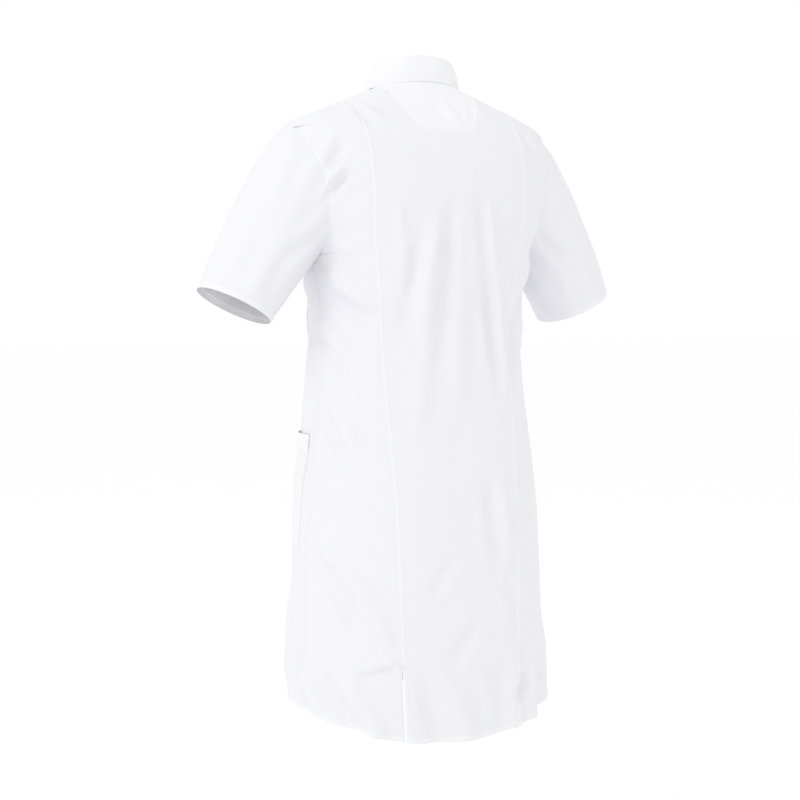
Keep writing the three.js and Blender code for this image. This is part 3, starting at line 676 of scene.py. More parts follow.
# %% A cloth finish made with the group
def cloth_finish(name, colour, shade, roughness, pitch, depth, sheen):
    """White cloth: a painted shade where it is single, for the shaded inside showing through, and the whiter
    colour where it is double; its slubs vary it too.
    """
    material = bpy.data.materials.new(name)
    material.use_nodes = True
    tree = material.node_tree
    shader = tree.nodes["Principled BSDF"]
    threads_node = tree.nodes.new("ShaderNodeGroup")
    threads_node.node_tree = weave
    threads_node.inputs["Threads per metre"].default_value = 1 / pitch
    plies = tree.nodes.new("ShaderNodeAttribute")
    plies.attribute_name = "plies"
    # The single-ply colour is a painted shade for the shaded inside showing through; the layer count and the
    # real slubs mix in the whiter colour
    ground = tree.nodes.new("ShaderNodeMix")
    ground.data_type = "RGBA"
    ground.inputs["A"].default_value = (*shade, 1)
    ground.inputs["B"].default_value = (*colour, 1)
    amount = maths(tree, "ADD", maths(tree, "MULTIPLY", plies.outputs["Fac"], 0.75),
                   maths(tree, "MULTIPLY", threads_node.outputs["Slub"], 0.45))
    tree.links.new(amount, ground.inputs["Factor"])
    tree.links.new(ground.outputs["Result"], shader.inputs["Base Color"])
    rough = maths(tree, "ADD", roughness - 0.06, maths(tree, "MULTIPLY", threads_node.outputs["Wear"], 0.12))
    tree.links.new(rough, shader.inputs["Roughness"])
    shader.inputs["Sheen Weight"].default_value = sheen
    shader.inputs["Sheen Roughness"].default_value = 0.5
    shader.inputs["Specular IOR Level"].default_value = 0.25
    bump = tree.nodes.new("ShaderNodeBump")
    bump.inputs["Strength"].default_value = 0.35
    bump.inputs["Distance"].default_value = depth
    tree.links.new(threads_node.outputs["Height"], bump.inputs["Height"])
    tree.links.new(bump.outputs["Normal"], shader.inputs["Normal"])
    return material


# Each finish gives the double-ply colour first, then the single-ply colour, which is a painted shade
white_cloth = cloth_finish("white_cloth", (0.872, 0.872, 0.887), (0.818, 0.818, 0.853), 0.86,
                           0.00046, 0.00006, 0.12)
white_tape = cloth_finish("white_tape", (0.9, 0.9, 0.92), (0.78, 0.78, 0.83), 0.8, 0.0008, 0.00014, 0.1)
label_satin = cloth_finish("label_satin", (0.9, 0.9, 0.9), (0.8, 0.8, 0.82), 0.45, 0.0003, 0.00003, 0.3)


def plain_finish(name, colour, roughness, metallic, scale, depth):
    """Moulded or plated small parts: their colour and roughness vary a little over the surface."""
    material = bpy.data.materials.new(name)
    material.use_nodes = True
    tree = material.node_tree
    shader = tree.nodes["Principled BSDF"]
    spot = tree.nodes.new("ShaderNodeTexCoord")
    grain = noise(tree, spot.outputs["Object"], scale, 3.0)
    tint = tree.nodes.new("ShaderNodeMix")
    tint.data_type = "RGBA"
    tint.inputs["A"].default_value = (*[0.9 * value for value in colour], 1)
    tint.inputs["B"].default_value = (*colour, 1)
    tree.links.new(grain, tint.inputs["Factor"])
    tree.links.new(tint.outputs["Result"], shader.inputs["Base Color"])
    tree.links.new(maths(tree, "ADD", roughness - 0.06, maths(tree, "MULTIPLY", grain, 0.12)),
                   shader.inputs["Roughness"])
    shader.inputs["Metallic"].default_value = metallic
    bump = tree.nodes.new("ShaderNodeBump")
    bump.inputs["Strength"].default_value = 0.2
    bump.inputs["Distance"].default_value = depth
    tree.links.new(grain, bump.inputs["Height"])
    tree.links.new(bump.outputs["Normal"], shader.inputs["Normal"])
    return material


thread_finish = plain_finish("sewing_thread", (0.93, 0.93, 0.95), 0.6, 0, 4000, 0.00005)
stud_plastic = plain_finish("stud_plastic", (0.9, 0.9, 0.91), 0.32, 0, 900, 0.00002)
stud_metal = plain_finish("stud_metal", (0.66, 0.67, 0.69), 0.3, 1, 1400, 0.00002)
print("Finishes made")

# %% [markdown]
# ## The cut pieces
# Each piece below says which seams it runs between. One helper then gives it its finish and its
# place in the model, hides its plain solid and prints the size it was cut to: the size of its smooth
# grid, before the folds were laid in it.

# %% Seam lines shared by the pieces
seam_top = float(level_where(half_width, shoulder_seam * 1.002, shoulder_tip_height, neck_level))
stud_spacing, top_stud_drop, stud_count = 118, 24, 6
stud_heights = [front_neck - top_stud_drop - i * stud_spacing for i in range(stud_count)]
stud_levels = [float(level_where(front_height, height, 0, neck_level)) for height in stud_heights]
facing_level = float(level_where(back_height, back_neck - 86, 0, neck_level))
flap_top = float(level_where(front_height, stud_heights[0] - stud_spacing * 0.4, 0, neck_level))
underarm_level = underarm + 4
back_seam_at = curve_through([0, waist_height, blade, seam_top],
                             [seam_hem, seam_waist, seam_blade, shoulder_seam])
front_seam_at = curve_through([0, flap_top, seam_top], [front_seam, front_seam, shoulder_seam])
armhole_x = curve_through([underarm, blade, shoulder_tip_height],
                          [underarm_half - 1.5, armhole_waist, shoulder_half - 1.5])
seam_gap = 0.3


def beside(angle, up, towards, gap=seam_gap):
    step = 0.01
    pace = np.linalg.norm(body_point(angle, up) - body_point(angle + step, up), axis=-1)
    return angle + towards * step * (gap / 2) / pace


def side_edge(ups, front):
    """The right-hand edge of a side panel: side seam, then armhole, then shoulder seam."""
    sign = 1 if front else -1
    fade = np.clip((underarm_level - ups) / 140, 0, 1)
    setback = side_setback * fade * fade * (3 - 2 * fade)
    seam = -np.arcsin((setback / back_depth(ups)) ** (squareness(ups) / 2))
    side = beside(seam, ups, sign)
    hole = angle_at_x(armhole_x(ups), ups, front)
    ridge = beside(np.zeros(len(ups)), ups, sign, 0.05)
    return np.where(ups < underarm_level, side, np.where(ups <= shoulder_tip_height, hole, ridge))


def centre_edge(ups, front, gap=seam_gap * 0.4):
    """The right-hand edge of a centre back or front: princess seam, then shoulder seam."""
    sign = 1 if front else -1
    seam = front_seam_at(ups) if front else back_seam_at(ups)
    low = beside(angle_at_x(seam, ups, front), ups, sign, gap)
    return np.where(ups <= seam_top, low, beside(np.zeros(len(ups)), ups, sign))


def mirrored(angles, front):
    return (math.pi if front else -math.pi) - angles


def finish_cloth(piece, grid, nodes, ride=None, blend=None,
                 finish=None):
    """Gives a piece its finish and its place in the model, and prints its cut size."""
    piece.data.materials.append(finish or white_cloth)
    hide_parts(*nodes)
    if blend:
        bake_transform(piece)
    else:
        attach(piece, ride or "root")
    width, length, area = flat_size(grid)
    width, length = math.ceil(width * 1000) / 1000, math.ceil(length * 1000) / 1000
    print(f"{piece.name}: {width * 1000:.0f} x {length * 1000:.0f} mm of cloth, {area:.3f} square metres")


seam_bands = (0, 0.4, 0.9, 1.8, 3, 4.2, 4.9, 5.5, 6.1, 6.8, 7.6, 9, 11, 13.5)
hem_bands = (0, 0.5, 1.2, 2.6, 4.4, 6.2, 7.2, 7.9, 8.6, 9.4, 10.4, 12, 14.5)
row_step, column_step = 3.4, 3.2

# %% [markdown]
# ## The side panels
# Two side panels on each side carry the coat from shoulder to hem, with the side seam between them.
# Their princess edges lie under the folded edges of the centre pieces; their armhole edges are
# turned and stitched.


# %% Side panels
def side_panel(name, front, left):
    ups = spread(0, seam_top, row_step, hem_bands, (0, 0.8, 2))
    edge = side_edge(ups, front)
    seam = front_seam_at(ups) if front else back_seam_at(ups)
    sewn = np.clip((ups - (4 if front else vent_height + 4)) / 4, 0, 1)
    gap = seam_gap * 0.4 - (5 if front else 9) * sewn
    princess = beside(angle_at_x(seam, ups, front), ups, -1 if front else 1, gap)
    start, end = (edge, princess) if front else (princess, edge)
    if left:
        start, end = mirrored(end, front), mirrored(start, front)
    edge_first = front != left
    angles, from_start, from_end = across(ups, start, end, column_step, seam_bands, seam_bands)
    to_edge, to_princess = (from_start, from_end) if edge_first else (from_end, from_start)
    up = np.broadcast_to(ups[:, None], angles.shape)
    hole = np.clip((up - underarm_level) / 12, 0, 1) * np.clip((shoulder_tip_height + 1 - up) / 4, 0, 1)
    lift = raised(up, hem_width, hem_raise) + hole * raised(to_edge, seam_width, 0.8)
    lift = lift + pucker(to_princess, up, 0, 0.4) + hole * pucker(to_edge, up, seam_width, 1.1)
    side = np.clip((underarm_level - up) / 20, 0, 1)
    if not front:
        lift = lift + side * raised(to_edge, 5.0, 0.6) + side * pucker(to_edge, up, 5.0, 2.0)
    lift = lift + 0.5 * pucker(up, to_edge, hem_width, 0.9)
    grid = trunk_point(angles, up, lift)
    smooth = body_point(angles, up)
    # Layer count for the painted shade: the hem and the turned armhole edge get the whiter double-ply colour
    plies = 0.6 * np.clip(hem_width + 0.5 - up, 0, 1) + 0.5 * hole * np.clip(seam_width + 0.5 - to_edge, 0, 1)
    piece = grid_to_cloth(name, grid, outward=body_normal(angles, up), double=np.clip(plies, 0, 1))
    normal = body_normal(angles, up)
    sew_row("trunk", grid, int(np.argmin(np.abs(ups - 7.6))), normal[int(np.argmin(np.abs(ups - 7.6)))])
    band = seam_bands.index(4.9)
    column = band if edge_first else grid.shape[1] - 1 - band
    rows = (ups > underarm_level + 6) & (ups < shoulder_tip_height - 2)
    sew("trunk", grid[rows, column], normal[rows, column])
    if not front:
        rows = (ups > 12) & (ups < underarm_level - 6)
        sew("trunk", grid[rows, column], normal[rows, column])
    return piece, smooth


side_pieces = {}
for place in ("back", "front"):
    for hand in ("right", "left"):
        panel = side_panel(f"{place}_side_panel_{hand}", place == "front", hand == "left")
        side_pieces[f"side_{place}_{hand}"] = panel
for node, (piece, smooth) in side_pieces.items():
    finish_cloth(piece, smooth, [node])

# %% [markdown]
# ## The centre back
# One long piece from the neck seam to the hem. Its edges are folded over the side panels and
# stitched down twice, which is the bright double ridge of a felled seam. Near the hem the seams
# stop at a bar tack and the piece hangs free between two vents, as the tail that can be lifted.

# %% Centre back
ups = spread(0, neck_level, row_step, hem_bands, (0, 0.5, 1.2, 2.5))
free_tail = np.clip((vent_height - ups) / 3, 0, 1)
right = centre_edge(ups, False, 0.2)
vent_turn = 0.0045
right = right - vent_turn * free_tail
left = mirrored(right, False)
angles, from_left, from_right = across(ups, left, right, column_step, seam_bands, seam_bands)
up = np.broadcast_to(ups[:, None], angles.shape)
edge_gap = np.minimum(from_left, from_right)
seamed = np.clip((seam_top - up) / 6, 0, 1)
facing_half = 78


def facing_low(x):
    """The lower edge of the back neck facing: level in the middle and rounded up to the shoulders."""
    reach = np.clip(np.abs(x) / facing_half, 0, 1)
    return facing_level + (neck_level - facing_level) * 0.8 * reach ** 9


base = body_point(angles, up)
faced = np.abs(base[..., 0]) < facing_half
to_facing = np.where(faced, up - facing_low(base[..., 0]), -99)
ridge = 1.1 * np.exp(-((to_facing - 2.0) / 2.4) ** 2) * faced
flare = 2.4 * np.clip((vent_height - up) / 70, 0, 1) * np.exp(-(edge_gap / 26) ** 2)
lift = (raised(up, hem_width, hem_raise) + seamed * raised(edge_gap, seam_width, seam_raise)
        + seamed * pucker(edge_gap, up, seam_width, 0.0) + ridge + flare
        + 0.5 * pucker(up, from_left, hem_width, 2.9))
grid = trunk_point(angles, up, lift)
normal = body_normal(angles, up)
# Layer count for the painted shade: hem, felled seams and the facing showing through get the whiter
# double-ply colour
plies = (0.6 * np.clip(hem_width + 0.5 - up, 0, 1) + 0.8 * seamed * np.clip(seam_width + 0.5 - edge_gap, 0, 1)
         + faced * np.clip(to_facing / 2, 0, 1))
centre_back = grid_to_cloth("centre_back", grid, outward=normal, double=np.clip(plies, 0, 1))
centre_back_smooth = body_point(angles, up)
row = int(np.argmin(np.abs(ups - 7.6)))
sew("back", grid[row], normal[row])
for band in (1.8, 4.9):
    at = seam_bands.index(band)
    rows = (ups > 10) & (ups < seam_top - 4)
    for column in (at, grid.shape[1] - 1 - at):
        sew("back", grid[rows, column], normal[rows, column])
line_x = np.linspace(-facing_half + 1, facing_half - 1, 80)
line_up = facing_low(line_x) + 3.0
line_angle = angle_at_x(line_x, line_up, False)
sew("back", trunk_point(line_angle, line_up, 1.1 * np.ones(len(line_x))), body_normal(line_angle, line_up))

# %% Bar tacks at the tops of the vents
for side in (-1, 1):
    for offset in (-1.2, 0, 1.2):
        tack_up = np.full(6, vent_height + 4 + offset)
        edge_x = side * (float(back_seam_at(vent_height)) - np.linspace(-5, 8, 6))
        tack_angle = angle_at_x(edge_x, tack_up, False)
        sew("back", trunk_point(tack_angle, tack_up, 1.4 * np.ones(6)), body_normal(tack_angle, tack_up))
tail_from, tail_to = Vector((0, 0, -0.8705)), Vector((0, 0, -0.8925))

# %% [markdown]
# ## The fronts
# The left front laps 40 mm over the right one, and six press studs close them. Each front has its
# facing folded to the inside, and both stay sewn to the collar above the top stud.

# %% Fronts and their facings
overlap, facing_width = 20, 52
under_facing_lift = -cloth - 0.12
over_lift_full = 4.5
over_facing_lift = over_lift_full - cloth - 0.12
ramp_end, ramp_start = 36, 72


def over_lift(x):
    share = np.clip((x + ramp_start) / (ramp_start - ramp_end), 0, 1)
    return over_lift_full * share * share * (3 - 2 * share)


def front_line(x):
    return lambda ups: angle_at_x(np.full(len(ups), float(x)), ups, True)


def front_piece(name, group, start_line, end_line, lift_of, edge_first, is_facing):
    low = 1.2 if is_facing else 0
    ups = spread(low, neck_level, row_step, hem_bands, (0, 0.5, 1.2, 2.5))
    bands = (0, 0.6, 1.6, 3, 5) if is_facing else seam_bands
    angles, from_start, from_end = across(ups, start_line(ups), end_line(ups), column_step, bands, bands)
    up = np.broadcast_to(ups[:, None], angles.shape)
    x = body_point(angles, up)[..., 0]
    lift = lift_of(x)
    to_edge, to_seam = (from_start, from_end) if edge_first else (from_end, from_start)
    # Layer count for the painted shade: hem, seams and the facing behind the front get the whiter double-ply
    # colour
    plies = np.zeros(angles.shape)
    if not is_facing:
        seamed = np.clip((seam_top - up) / 6, 0, 1)
        lift = lift + raised(up, hem_width, hem_raise) + seamed * raised(to_seam, seam_width, seam_raise)
        lift = lift + seamed * pucker(to_seam, up, seam_width, 0.7) + 0.6 * pucker(to_edge, up, 7.6, 1.4)
        lift = lift - 0.45 * np.exp(-((to_edge - 7.6) / 0.9) ** 2) - 0.5 * np.exp(-(to_edge / 0.8) ** 2)
        plies = 0.6 * np.clip(hem_width + 0.5 - up, 0, 1)
        plies = plies + 0.5 * seamed * np.clip(seam_width + 0.5 - to_seam, 0, 1)
        plies = plies + np.clip((facing_width - to_edge) / 1.5, 0, 1)
    grid = trunk_point(angles, up, lift)
    normal = body_normal(angles, up)
    piece = grid_to_cloth(name, grid, outward=normal, double=np.clip(plies, 0, 1))
    if not is_facing:
        row = int(np.argmin(np.abs(ups - 7.6)))
        sew(group, grid[row], normal[row])
        rows = (ups > 10) & (ups < seam_top - 4)
        for band in (1.8, 4.9):
            at = seam_bands.index(band)
            column = grid.shape[1] - 1 - at if edge_first else at
            sew(group, grid[rows, column], normal[rows, column])
        column = seam_bands.index(7.6) if edge_first else grid.shape[1] - 1 - seam_bands.index(7.6)
        sew(group, grid[:, column], normal[:, column])
    return piece, body_point(angles, up)


def right_seam(ups):
    return centre_edge(ups, True)


def left_seam(ups):
    return mirrored(centre_edge(ups, True), True)


front_left = front_piece("front_left_cloth", "front_left", front_line(overlap), left_seam, over_lift,
                         True, False)
front_right = front_piece("front_right_cloth", "front_right", right_seam, front_line(-overlap),
                          lambda x: 0 * x, False, False)
facing_left = front_piece("facing_left_cloth", "front_left", front_line(overlap - 0.3),
                          front_line(overlap - facing_width), lambda x: over_facing_lift + 0 * x, True, True)
facing_right = front_piece("facing_right_cloth", "front_right", front_line(facing_width - overlap),
                           front_line(-overlap + 0.3), lambda x: under_facing_lift + 0 * x, False, True)
bend_from, bend_to = Vector((0, 0, -0.10)), Vector((0, 0, -0.53))

# %% [markdown]
# ## The sleeves
# A set-in sleeve starts from the armhole's edge and ends in a narrow stitched hem. It is fuller over
# its top than under the arm, and it creases where the underarm pulls.

# %% The armhole ring
sleeve_end = np.array([302, 11, 640 - neck_seam_height], float)
sleeve_half_width, sleeve_half_depth, sleeve_tilt = 58, 68, math.radians(28)
sleeve_fullness, swell_skew = 15, 0.6
armhole_middle = np.array([armhole_waist, 0, (underarm + shoulder_tip_height) / 2 - neck_seam_height])


def armhole_ring():
    """Points round the right armhole, from the back of the underarm up, over and down the front."""
    leg = np.linspace(underarm_level, shoulder_tip_height, 120)
    back = angle_at_x(armhole_x(leg), leg, False)
    front = angle_at_x(armhole_x(leg), leg, True)
    top = np.linspace(back[-1], front[-1], 30)
    low = np.linspace(front[0], back[0], 30)
    angles = np.concatenate([back, top[1:-1], front[::-1], low[1:]])
    ups = np.concatenate([leg, np.full(28, shoulder_tip_height), leg[::-1], np.full(29, underarm_level)])
    return angles, ups


def sleeve_grid(ring, plain_ring, shares, lift):
    """Rows from the armhole to the hem, by share of the way, round a tube that closes on itself."""
    around = np.arctan2(plain_ring[:, 1] - armhole_middle[1], plain_ring[:, 2] - armhole_middle[2])
    wide = sleeve_half_width * np.cos(around)
    end = sleeve_end + np.stack([wide * math.cos(sleeve_tilt), sleeve_half_depth * np.sin(around),
                                 wide * math.sin(sleeve_tilt)], 1)
    share = shares[:, None, None]
    settle = np.clip(share / 0.12, 0, 1)
    start = ring[None] * (1 - settle) + plain_ring[None] * settle
    points = start * (1 - share) + end[None] * share
    axis = armhole_middle + (sleeve_end - armhole_middle) * share
    outward = unit(points - axis)
    along = np.sin(math.pi * shares[:, None] ** swell_skew)
    swell = sleeve_fullness * np.maximum(0, np.cos(around))[None, :] * along
    return points + outward * (swell + lift)[..., None], outward, np.degrees(around)


sleeve_folds = [
    # places are degrees round the sleeve (0 on top, -90 behind) and the share of its length
    ([(-118, 0.02), (-108, 0.22), (-92, 0.5)], 9, 2.6), ([(-132, 0.04), (-118, 0.3), (-100, 0.62)], 9, -2.6),
    ([(-146, 0.1), (-128, 0.4), (-112, 0.8)], 10, 2.2), ([(-30, 0.02), (-38, 0.2), (-48, 0.42)], 9, 1.6),
    ([(-48, 0.03), (-56, 0.22), (-66, 0.46)], 9, -1.8), ([(-10, 0.02), (-14, 0.16), (-20, 0.34)], 8, -1.5),
    ([(-80, 0.4), (-84, 0.66), (-86, 0.98)], 13, 1.6), ([(-62, 0.5), (-64, 0.74), (-64, 1.0)], 12, -1.6),
    ([(-36, 0.45), (-38, 0.7), (-38, 1.0)], 13, 1.5), ([(-12, 0.4), (-10, 0.7), (-8, 1.0)], 14, -1.4),
    ([(14, 0.02), (18, 0.24), (24, 0.5)], 10, 1.6), ([(40, 0.02), (44, 0.24), (52, 0.5)], 10, -1.8),
    ([(64, 0.04), (70, 0.3), (80, 0.6)], 10, 2.2), ([(96, 0.04), (100, 0.3), (96, 0.7)], 11, -2.4),
    ([(124, 0.06), (120, 0.4), (112, 0.8)], 10, 2.4), ([(30, 0.5), (28, 0.75), (26, 1.0)], 13, 1.6),
    ([(72, 0.55), (72, 0.8), (70, 1.0)], 13, -1.6), ([(150, 0.2), (146, 0.5), (140, 0.9)], 12, -2.0),
    ([(-104, 0.62), (-108, 0.8), (-110, 1.0)], 10, -1.5), ([(172, 0.1), (176, 0.5), (178, 0.95)], 12, 1.8),
]


def sleeve(name, left):
    ring_angles, ring_ups = armhole_ring()
    plain = body_point(ring_angles, ring_ups)
    if left:
        worn = trunk_point(math.pi - ring_angles, ring_ups, -0.05 * np.ones(len(ring_ups)))
        worn[:, 0] *= -1
    else:
        worn = trunk_point(ring_angles, ring_ups, -0.05 * np.ones(len(ring_ups)))
    plain[:, 0] += 0.6
    worn[:, 0] -= 2.2 * np.clip((ring_ups - underarm_level - 4) / 20, 0, 1)
    count = 151
    run = np.concatenate([[0], np.cumsum(np.linalg.norm(np.diff(plain, axis=0), axis=1))])
    at = np.linspace(0, run[-1], count)
    plain_ring = np.stack([np.interp(at, run, plain[:, k]) for k in range(3)], 1)
    worn_ring = np.stack([np.interp(at, run, worn[:, k]) for k in range(3)], 1)
    shares = np.concatenate([[0, 0.004, 0.01, 0.018, 0.028], np.linspace(0.04, 0.9, 62),
                             [0.912, 0.924, 0.936, 0.946, 0.955, 0.962, 0.968, 0.974, 0.981, 0.988,
                              0.995, 1]])
    bare, outward, around = sleeve_grid(plain_ring, plain_ring, shares, np.zeros((len(shares), count)))
    length = np.linalg.norm(np.diff(bare, axis=0), axis=2).sum(0)[None]
    from_hem = (1 - shares[:, None]) * length
    from_seam = shares[:, None] * length

    def spot(place):
        degrees, share = place
        row = np.interp(share, shares, np.arange(len(shares)))
        nearest = int(np.argmin(np.abs((around - degrees + 180) % 360 - 180)))
        return bare[int(round(row)), nearest]

    lines = []
    for places, width, height in sleeve_folds:
        turn = 8 if left else 0
        points = np.array([spot((degrees + turn, share)) for degrees, share in places])
        lines.append((soft_line(points), width, height * (0.85 if left else 1.0)))
    open_share = np.clip(from_seam / 14, 0, 1)
    lift = open_share * (1.3 * fold_height(bare, lines) + ripple(bare, 1.0 if left else 2.2))
    lift = lift + 0.9 * np.exp(-((from_seam - 3) / 3.2) ** 2) * np.clip(from_seam / 0.8, 0, 1)
    columns = np.arange(count)[None] * (run[-1] / (count - 1))
    lift = lift + pucker(from_seam, columns, 4, 0.3) * open_share
    lift = lift + 0.5 * pucker(from_hem, columns, hem_width, 0.5)
    lift = lift + raised(from_hem, hem_width, hem_raise)
    lift[:, -1] = lift[:, 0]
    grid, outward, _ = sleeve_grid(worn_ring, plain_ring, shares, lift)
    if left:
        grid[..., 0] *= -1
        bare[..., 0] *= -1
        outward[..., 0] *= -1
    # Layer count for the painted shade: the hem gets the whiter double-ply colour
    plies = 0.6 * np.clip(hem_width + 0.5 - from_hem, 0, 1)
    piece = grid_to_cloth(name, grid, outward=outward, around=True, double=plies)
    row = len(shares) - 1 - int(np.argmin(np.abs((from_hem.mean(1) - 7.6)[::-1])))
    group = "sleeve_left" if left else "sleeve_right"
    sew(group, grid[row], outward[row])
    return piece, bare


sleeves = {hand: sleeve(f"sleeve_{hand}_cloth", hand == "left") for hand in ("right", "left")}

# %% [markdown]
# ## The collar
# The collar has two parts. The stand is a band that rises from the neck seam, and the fall is folded
# over it and covers it from outside. The fold is rounded, the fall's lower edge is stitched, and it
# stands a little off the shoulders.

# %% Stand and fall
stand_height, stand_lean, stand_thick = 36, 5, 1.6
fall_reach, fall_point_reach, fall_flare, fall_bow, fall_clear, fall_end_x = 9, 34, 0.0, 2.2, 0.1, 27
neck_edge_under = float(angle_at_x(-overlap, neck_level, True))
neck_edge_over = float(angle_at_x(overlap, neck_level, True)) - 2 * math.pi


def neck_out(angle):
    out = body_normal(angle, np.full(np.shape(angle), neck_level))
    out[..., 2] = 0
    return unit(out)


def collar_lift(angle):
    x = body_point(angle, np.full(np.shape(angle), neck_level))[..., 0]
    return np.where(angle < -math.pi, over_lift(x), 0)


def stand_point(angle, height, lift):
    up = np.full(np.shape(angle), neck_level)
    point = body_point(angle, up) + body_normal(angle, up) * collar_lift(angle)[..., None]
    point = point + neck_out(angle) * (lift - stand_lean * height / stand_height)[..., None]
    point[..., 2] += height
    return point


stand_angles = np.linspace(neck_edge_under, neck_edge_over, 150)
heights = np.concatenate([[-0.6, 0, 0.8, 1.8], np.linspace(3, stand_height - 1, 13), [stand_height]])
angle_grid = np.broadcast_to(stand_angles[None], (len(heights), len(stand_angles)))
height_grid = np.broadcast_to(heights[:, None], angle_grid.shape)
stand_grid = stand_point(angle_grid, height_grid, 0.25 * np.sin(angle_grid * 23) * np.exp(-height_grid / 9))
collar_stand = grid_to_cloth("collar_stand_cloth", stand_grid, stand_thick, outward=neck_out(angle_grid),
                             double=np.ones(angle_grid.shape))

start = float(angle_at_x(fall_end_x, neck_level, True))
end = float(angle_at_x(-fall_end_x, neck_level, True)) - 2 * math.pi
fall_angles = np.linspace(start, end, 170)
fold_radius = 1.9
arc = np.linspace(0.15 * math.pi, math.pi, 9)
edge_shares = [0.88, 0.9, 0.915, 0.93, 0.945, 0.96, 0.975, 0.988, 1.0]
shares = np.concatenate([np.linspace(0.02, 0.86, 22), edge_shares])
rows = []
round_share = np.abs(fall_angles + math.pi / 2) / (start + math.pi / 2)
reach = fall_reach + (fall_point_reach - fall_reach) * round_share ** 4
low_level = neck_level - reach
low = body_point(fall_angles, low_level) + body_normal(fall_angles, low_level) * (
    fall_clear + 0.3 * np.sin(fall_angles * 3.1) + collar_lift(fall_angles))[:, None]
low = low + neck_out(fall_angles) * fall_flare
zero = np.zeros(len(fall_angles))
top_in = stand_point(fall_angles, zero + stand_height, zero - 0.4)
out = neck_out(fall_angles)
for turn in arc:
    point = top_in + out * (fold_radius * (1 - math.cos(turn)))
    point[:, 2] += fold_radius * math.sin(turn) + 0.6
    rows.append(point)
top_out = rows[-1]
run_down = np.linalg.norm(low - top_out, axis=1)
for share in shares:
    bow = fall_bow * 4 * share * (1 - share)
    to_edge = (1 - share) * run_down
    puff = (0.8 * np.exp(-(to_edge / 5.0) ** 2) - 0.5 * np.exp(-((to_edge - 5.2) / 0.9) ** 2)
            - 0.8 * np.exp(-(to_edge / 0.8) ** 2)
            + 0.35 * np.sin(fall_angles * 9 + 4 * share) * share * (1 - share) * 4)
    rows.append(top_out + (low - top_out) * share + out * (bow + puff)[:, None])
fall_grid = np.stack(rows)
spread_out = np.broadcast_to(out[None], fall_grid.shape).copy()
spread_out[:9, :, 2] = 0.5
collar_fall = grid_to_cloth("collar_fall_cloth", fall_grid[:, ::-1], 1.3, outward=spread_out[:, ::-1],
                            double=np.ones(fall_grid.shape[:2]))
row = int(9 + np.argmin(np.abs((1 - shares) * run_down.mean() - 5.2)))
sew("trunk", fall_grid[row], unit(spread_out[row]))
print("Collar fall", round(float(run_down.mean())), "mm deep at the back")

# %% [markdown]
# ## Inside the back neck
# A faced back neck lies against the inside of the centre back, its lower edge stitched through. A
# blank size label is sewn to it, and a tape loop hangs from the neck seam for a coat hook.

# %% Facing, label and loop
x_columns = np.linspace(-facing_half + 0.5, facing_half - 0.5, 54)
share_rows = np.concatenate([[0, 0.01, 0.025], np.linspace(0.05, 1, 34)])
x_grid = np.broadcast_to(x_columns[None], (len(share_rows), len(x_columns)))
up_grid = facing_low(x_grid) + (neck_level - 0.5 - facing_low(x_grid)) * share_rows[:, None]
angles = angle_at_x(x_grid, up_grid, False)
facing_grid = trunk_point(angles, up_grid, np.full(angles.shape, -cloth - 0.15))
neck_facing = grid_to_cloth("back_neck_facing_cloth", facing_grid, outward=body_normal(angles, up_grid),
                            double=np.ones(angles.shape))
facing_smooth = body_point(angles, up_grid)

label_low, label_high = (float(level_where(back_height, back_neck - drop, shoulder_tip_height, neck_level))
                         for drop in (38, 22))
label_ups = spread(label_low, label_high, 1.2, (0, 0.5, 1), (0, 0.5, 1))
label_x = np.linspace(-17, 17, 24)
x_grid, up_grid = np.broadcast_arrays(label_x[None], label_ups[:, None])
angles = angle_at_x(x_grid, up_grid, False)
edge = np.minimum(17 - np.abs(x_grid), np.minimum(up_grid - label_low, label_high - up_grid))
label_lift = -2 * cloth - 0.55 - 0.5 * np.clip(edge / 6, 0, 1)
label_grid = trunk_point(angles, up_grid, label_lift)
size_label = grid_to_cloth("size_label_cloth", label_grid, 0.35, outward=body_normal(angles, up_grid),
                           double=np.zeros(angles.shape))
label_smooth = body_point(angles, up_grid)

loop_low, loop_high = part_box("hanger_loop")
loop_half = (loop_high.x - loop_low.x) / 2 / MM
loop_drop = (loop_high.z - loop_low.z) / MM
tape_thick = 1.1
turn = np.linspace(-math.pi, 0, 61)
offsets = np.array([-3.5, -3.3, -2.6, -1.8, -1.2, 0, 1.2, 1.8, 2.6, 3.3, 3.5])
centre = np.stack([(loop_half - 3.5) * np.cos(turn), 0 * turn, (loop_drop - 3.5) * np.sin(turn)], 1)
heading = unit(np.gradient(centre, axis=0))
sideways = np.stack([heading[:, 2], 0 * turn, -heading[:, 0]], 1)
loop_grid = centre[:, None] + sideways[:, None] * offsets[None, :, None]
loop_grid[..., 1] = ((loop_low.y + loop_high.y) / 2 / MM - 0.55 - 0.28 * np.cos(offsets / 3.5 * 1.4)[None]
                     + 0.12 * np.sin(turn * 9)[:, None])
loop_grid[..., 2] += loop_high.z / MM
loop_out = np.zeros(loop_grid.shape)
loop_out[..., 1] = -1
hanger_loop = grid_to_cloth("hanger_loop_tape", loop_grid, tape_thick, outward=loop_out,
                            double=np.zeros(loop_grid.shape[:2]))
for column in (2, 8):
    sew("loop", loop_grid[:, column], loop_out[:, column])

# %% [markdown]
# ## The pockets
# Three patch pockets: each is a piece of cloth with a deep hem along its mouth, turned under and
# stitched down along its sides and bottom. The middle of the mouth stands off a little, so that a
# hand or a pen finds it.


# %% Pockets
def walk(ups, start, distances):
    """The angles reached by walking distances round the body from a start angle on each row."""
    sweep = np.linspace(0, 1.5, 400)
    angles = start[:, None] + sweep
    points = body_point(angles, ups[:, None])
    run = np.concatenate([np.zeros((len(ups), 1)),
                          np.cumsum(np.linalg.norm(np.diff(points, axis=1), axis=2), axis=1)], axis=1)
    return np.array([np.interp(distances, run[r], angles[r]) for r in range(len(ups))])


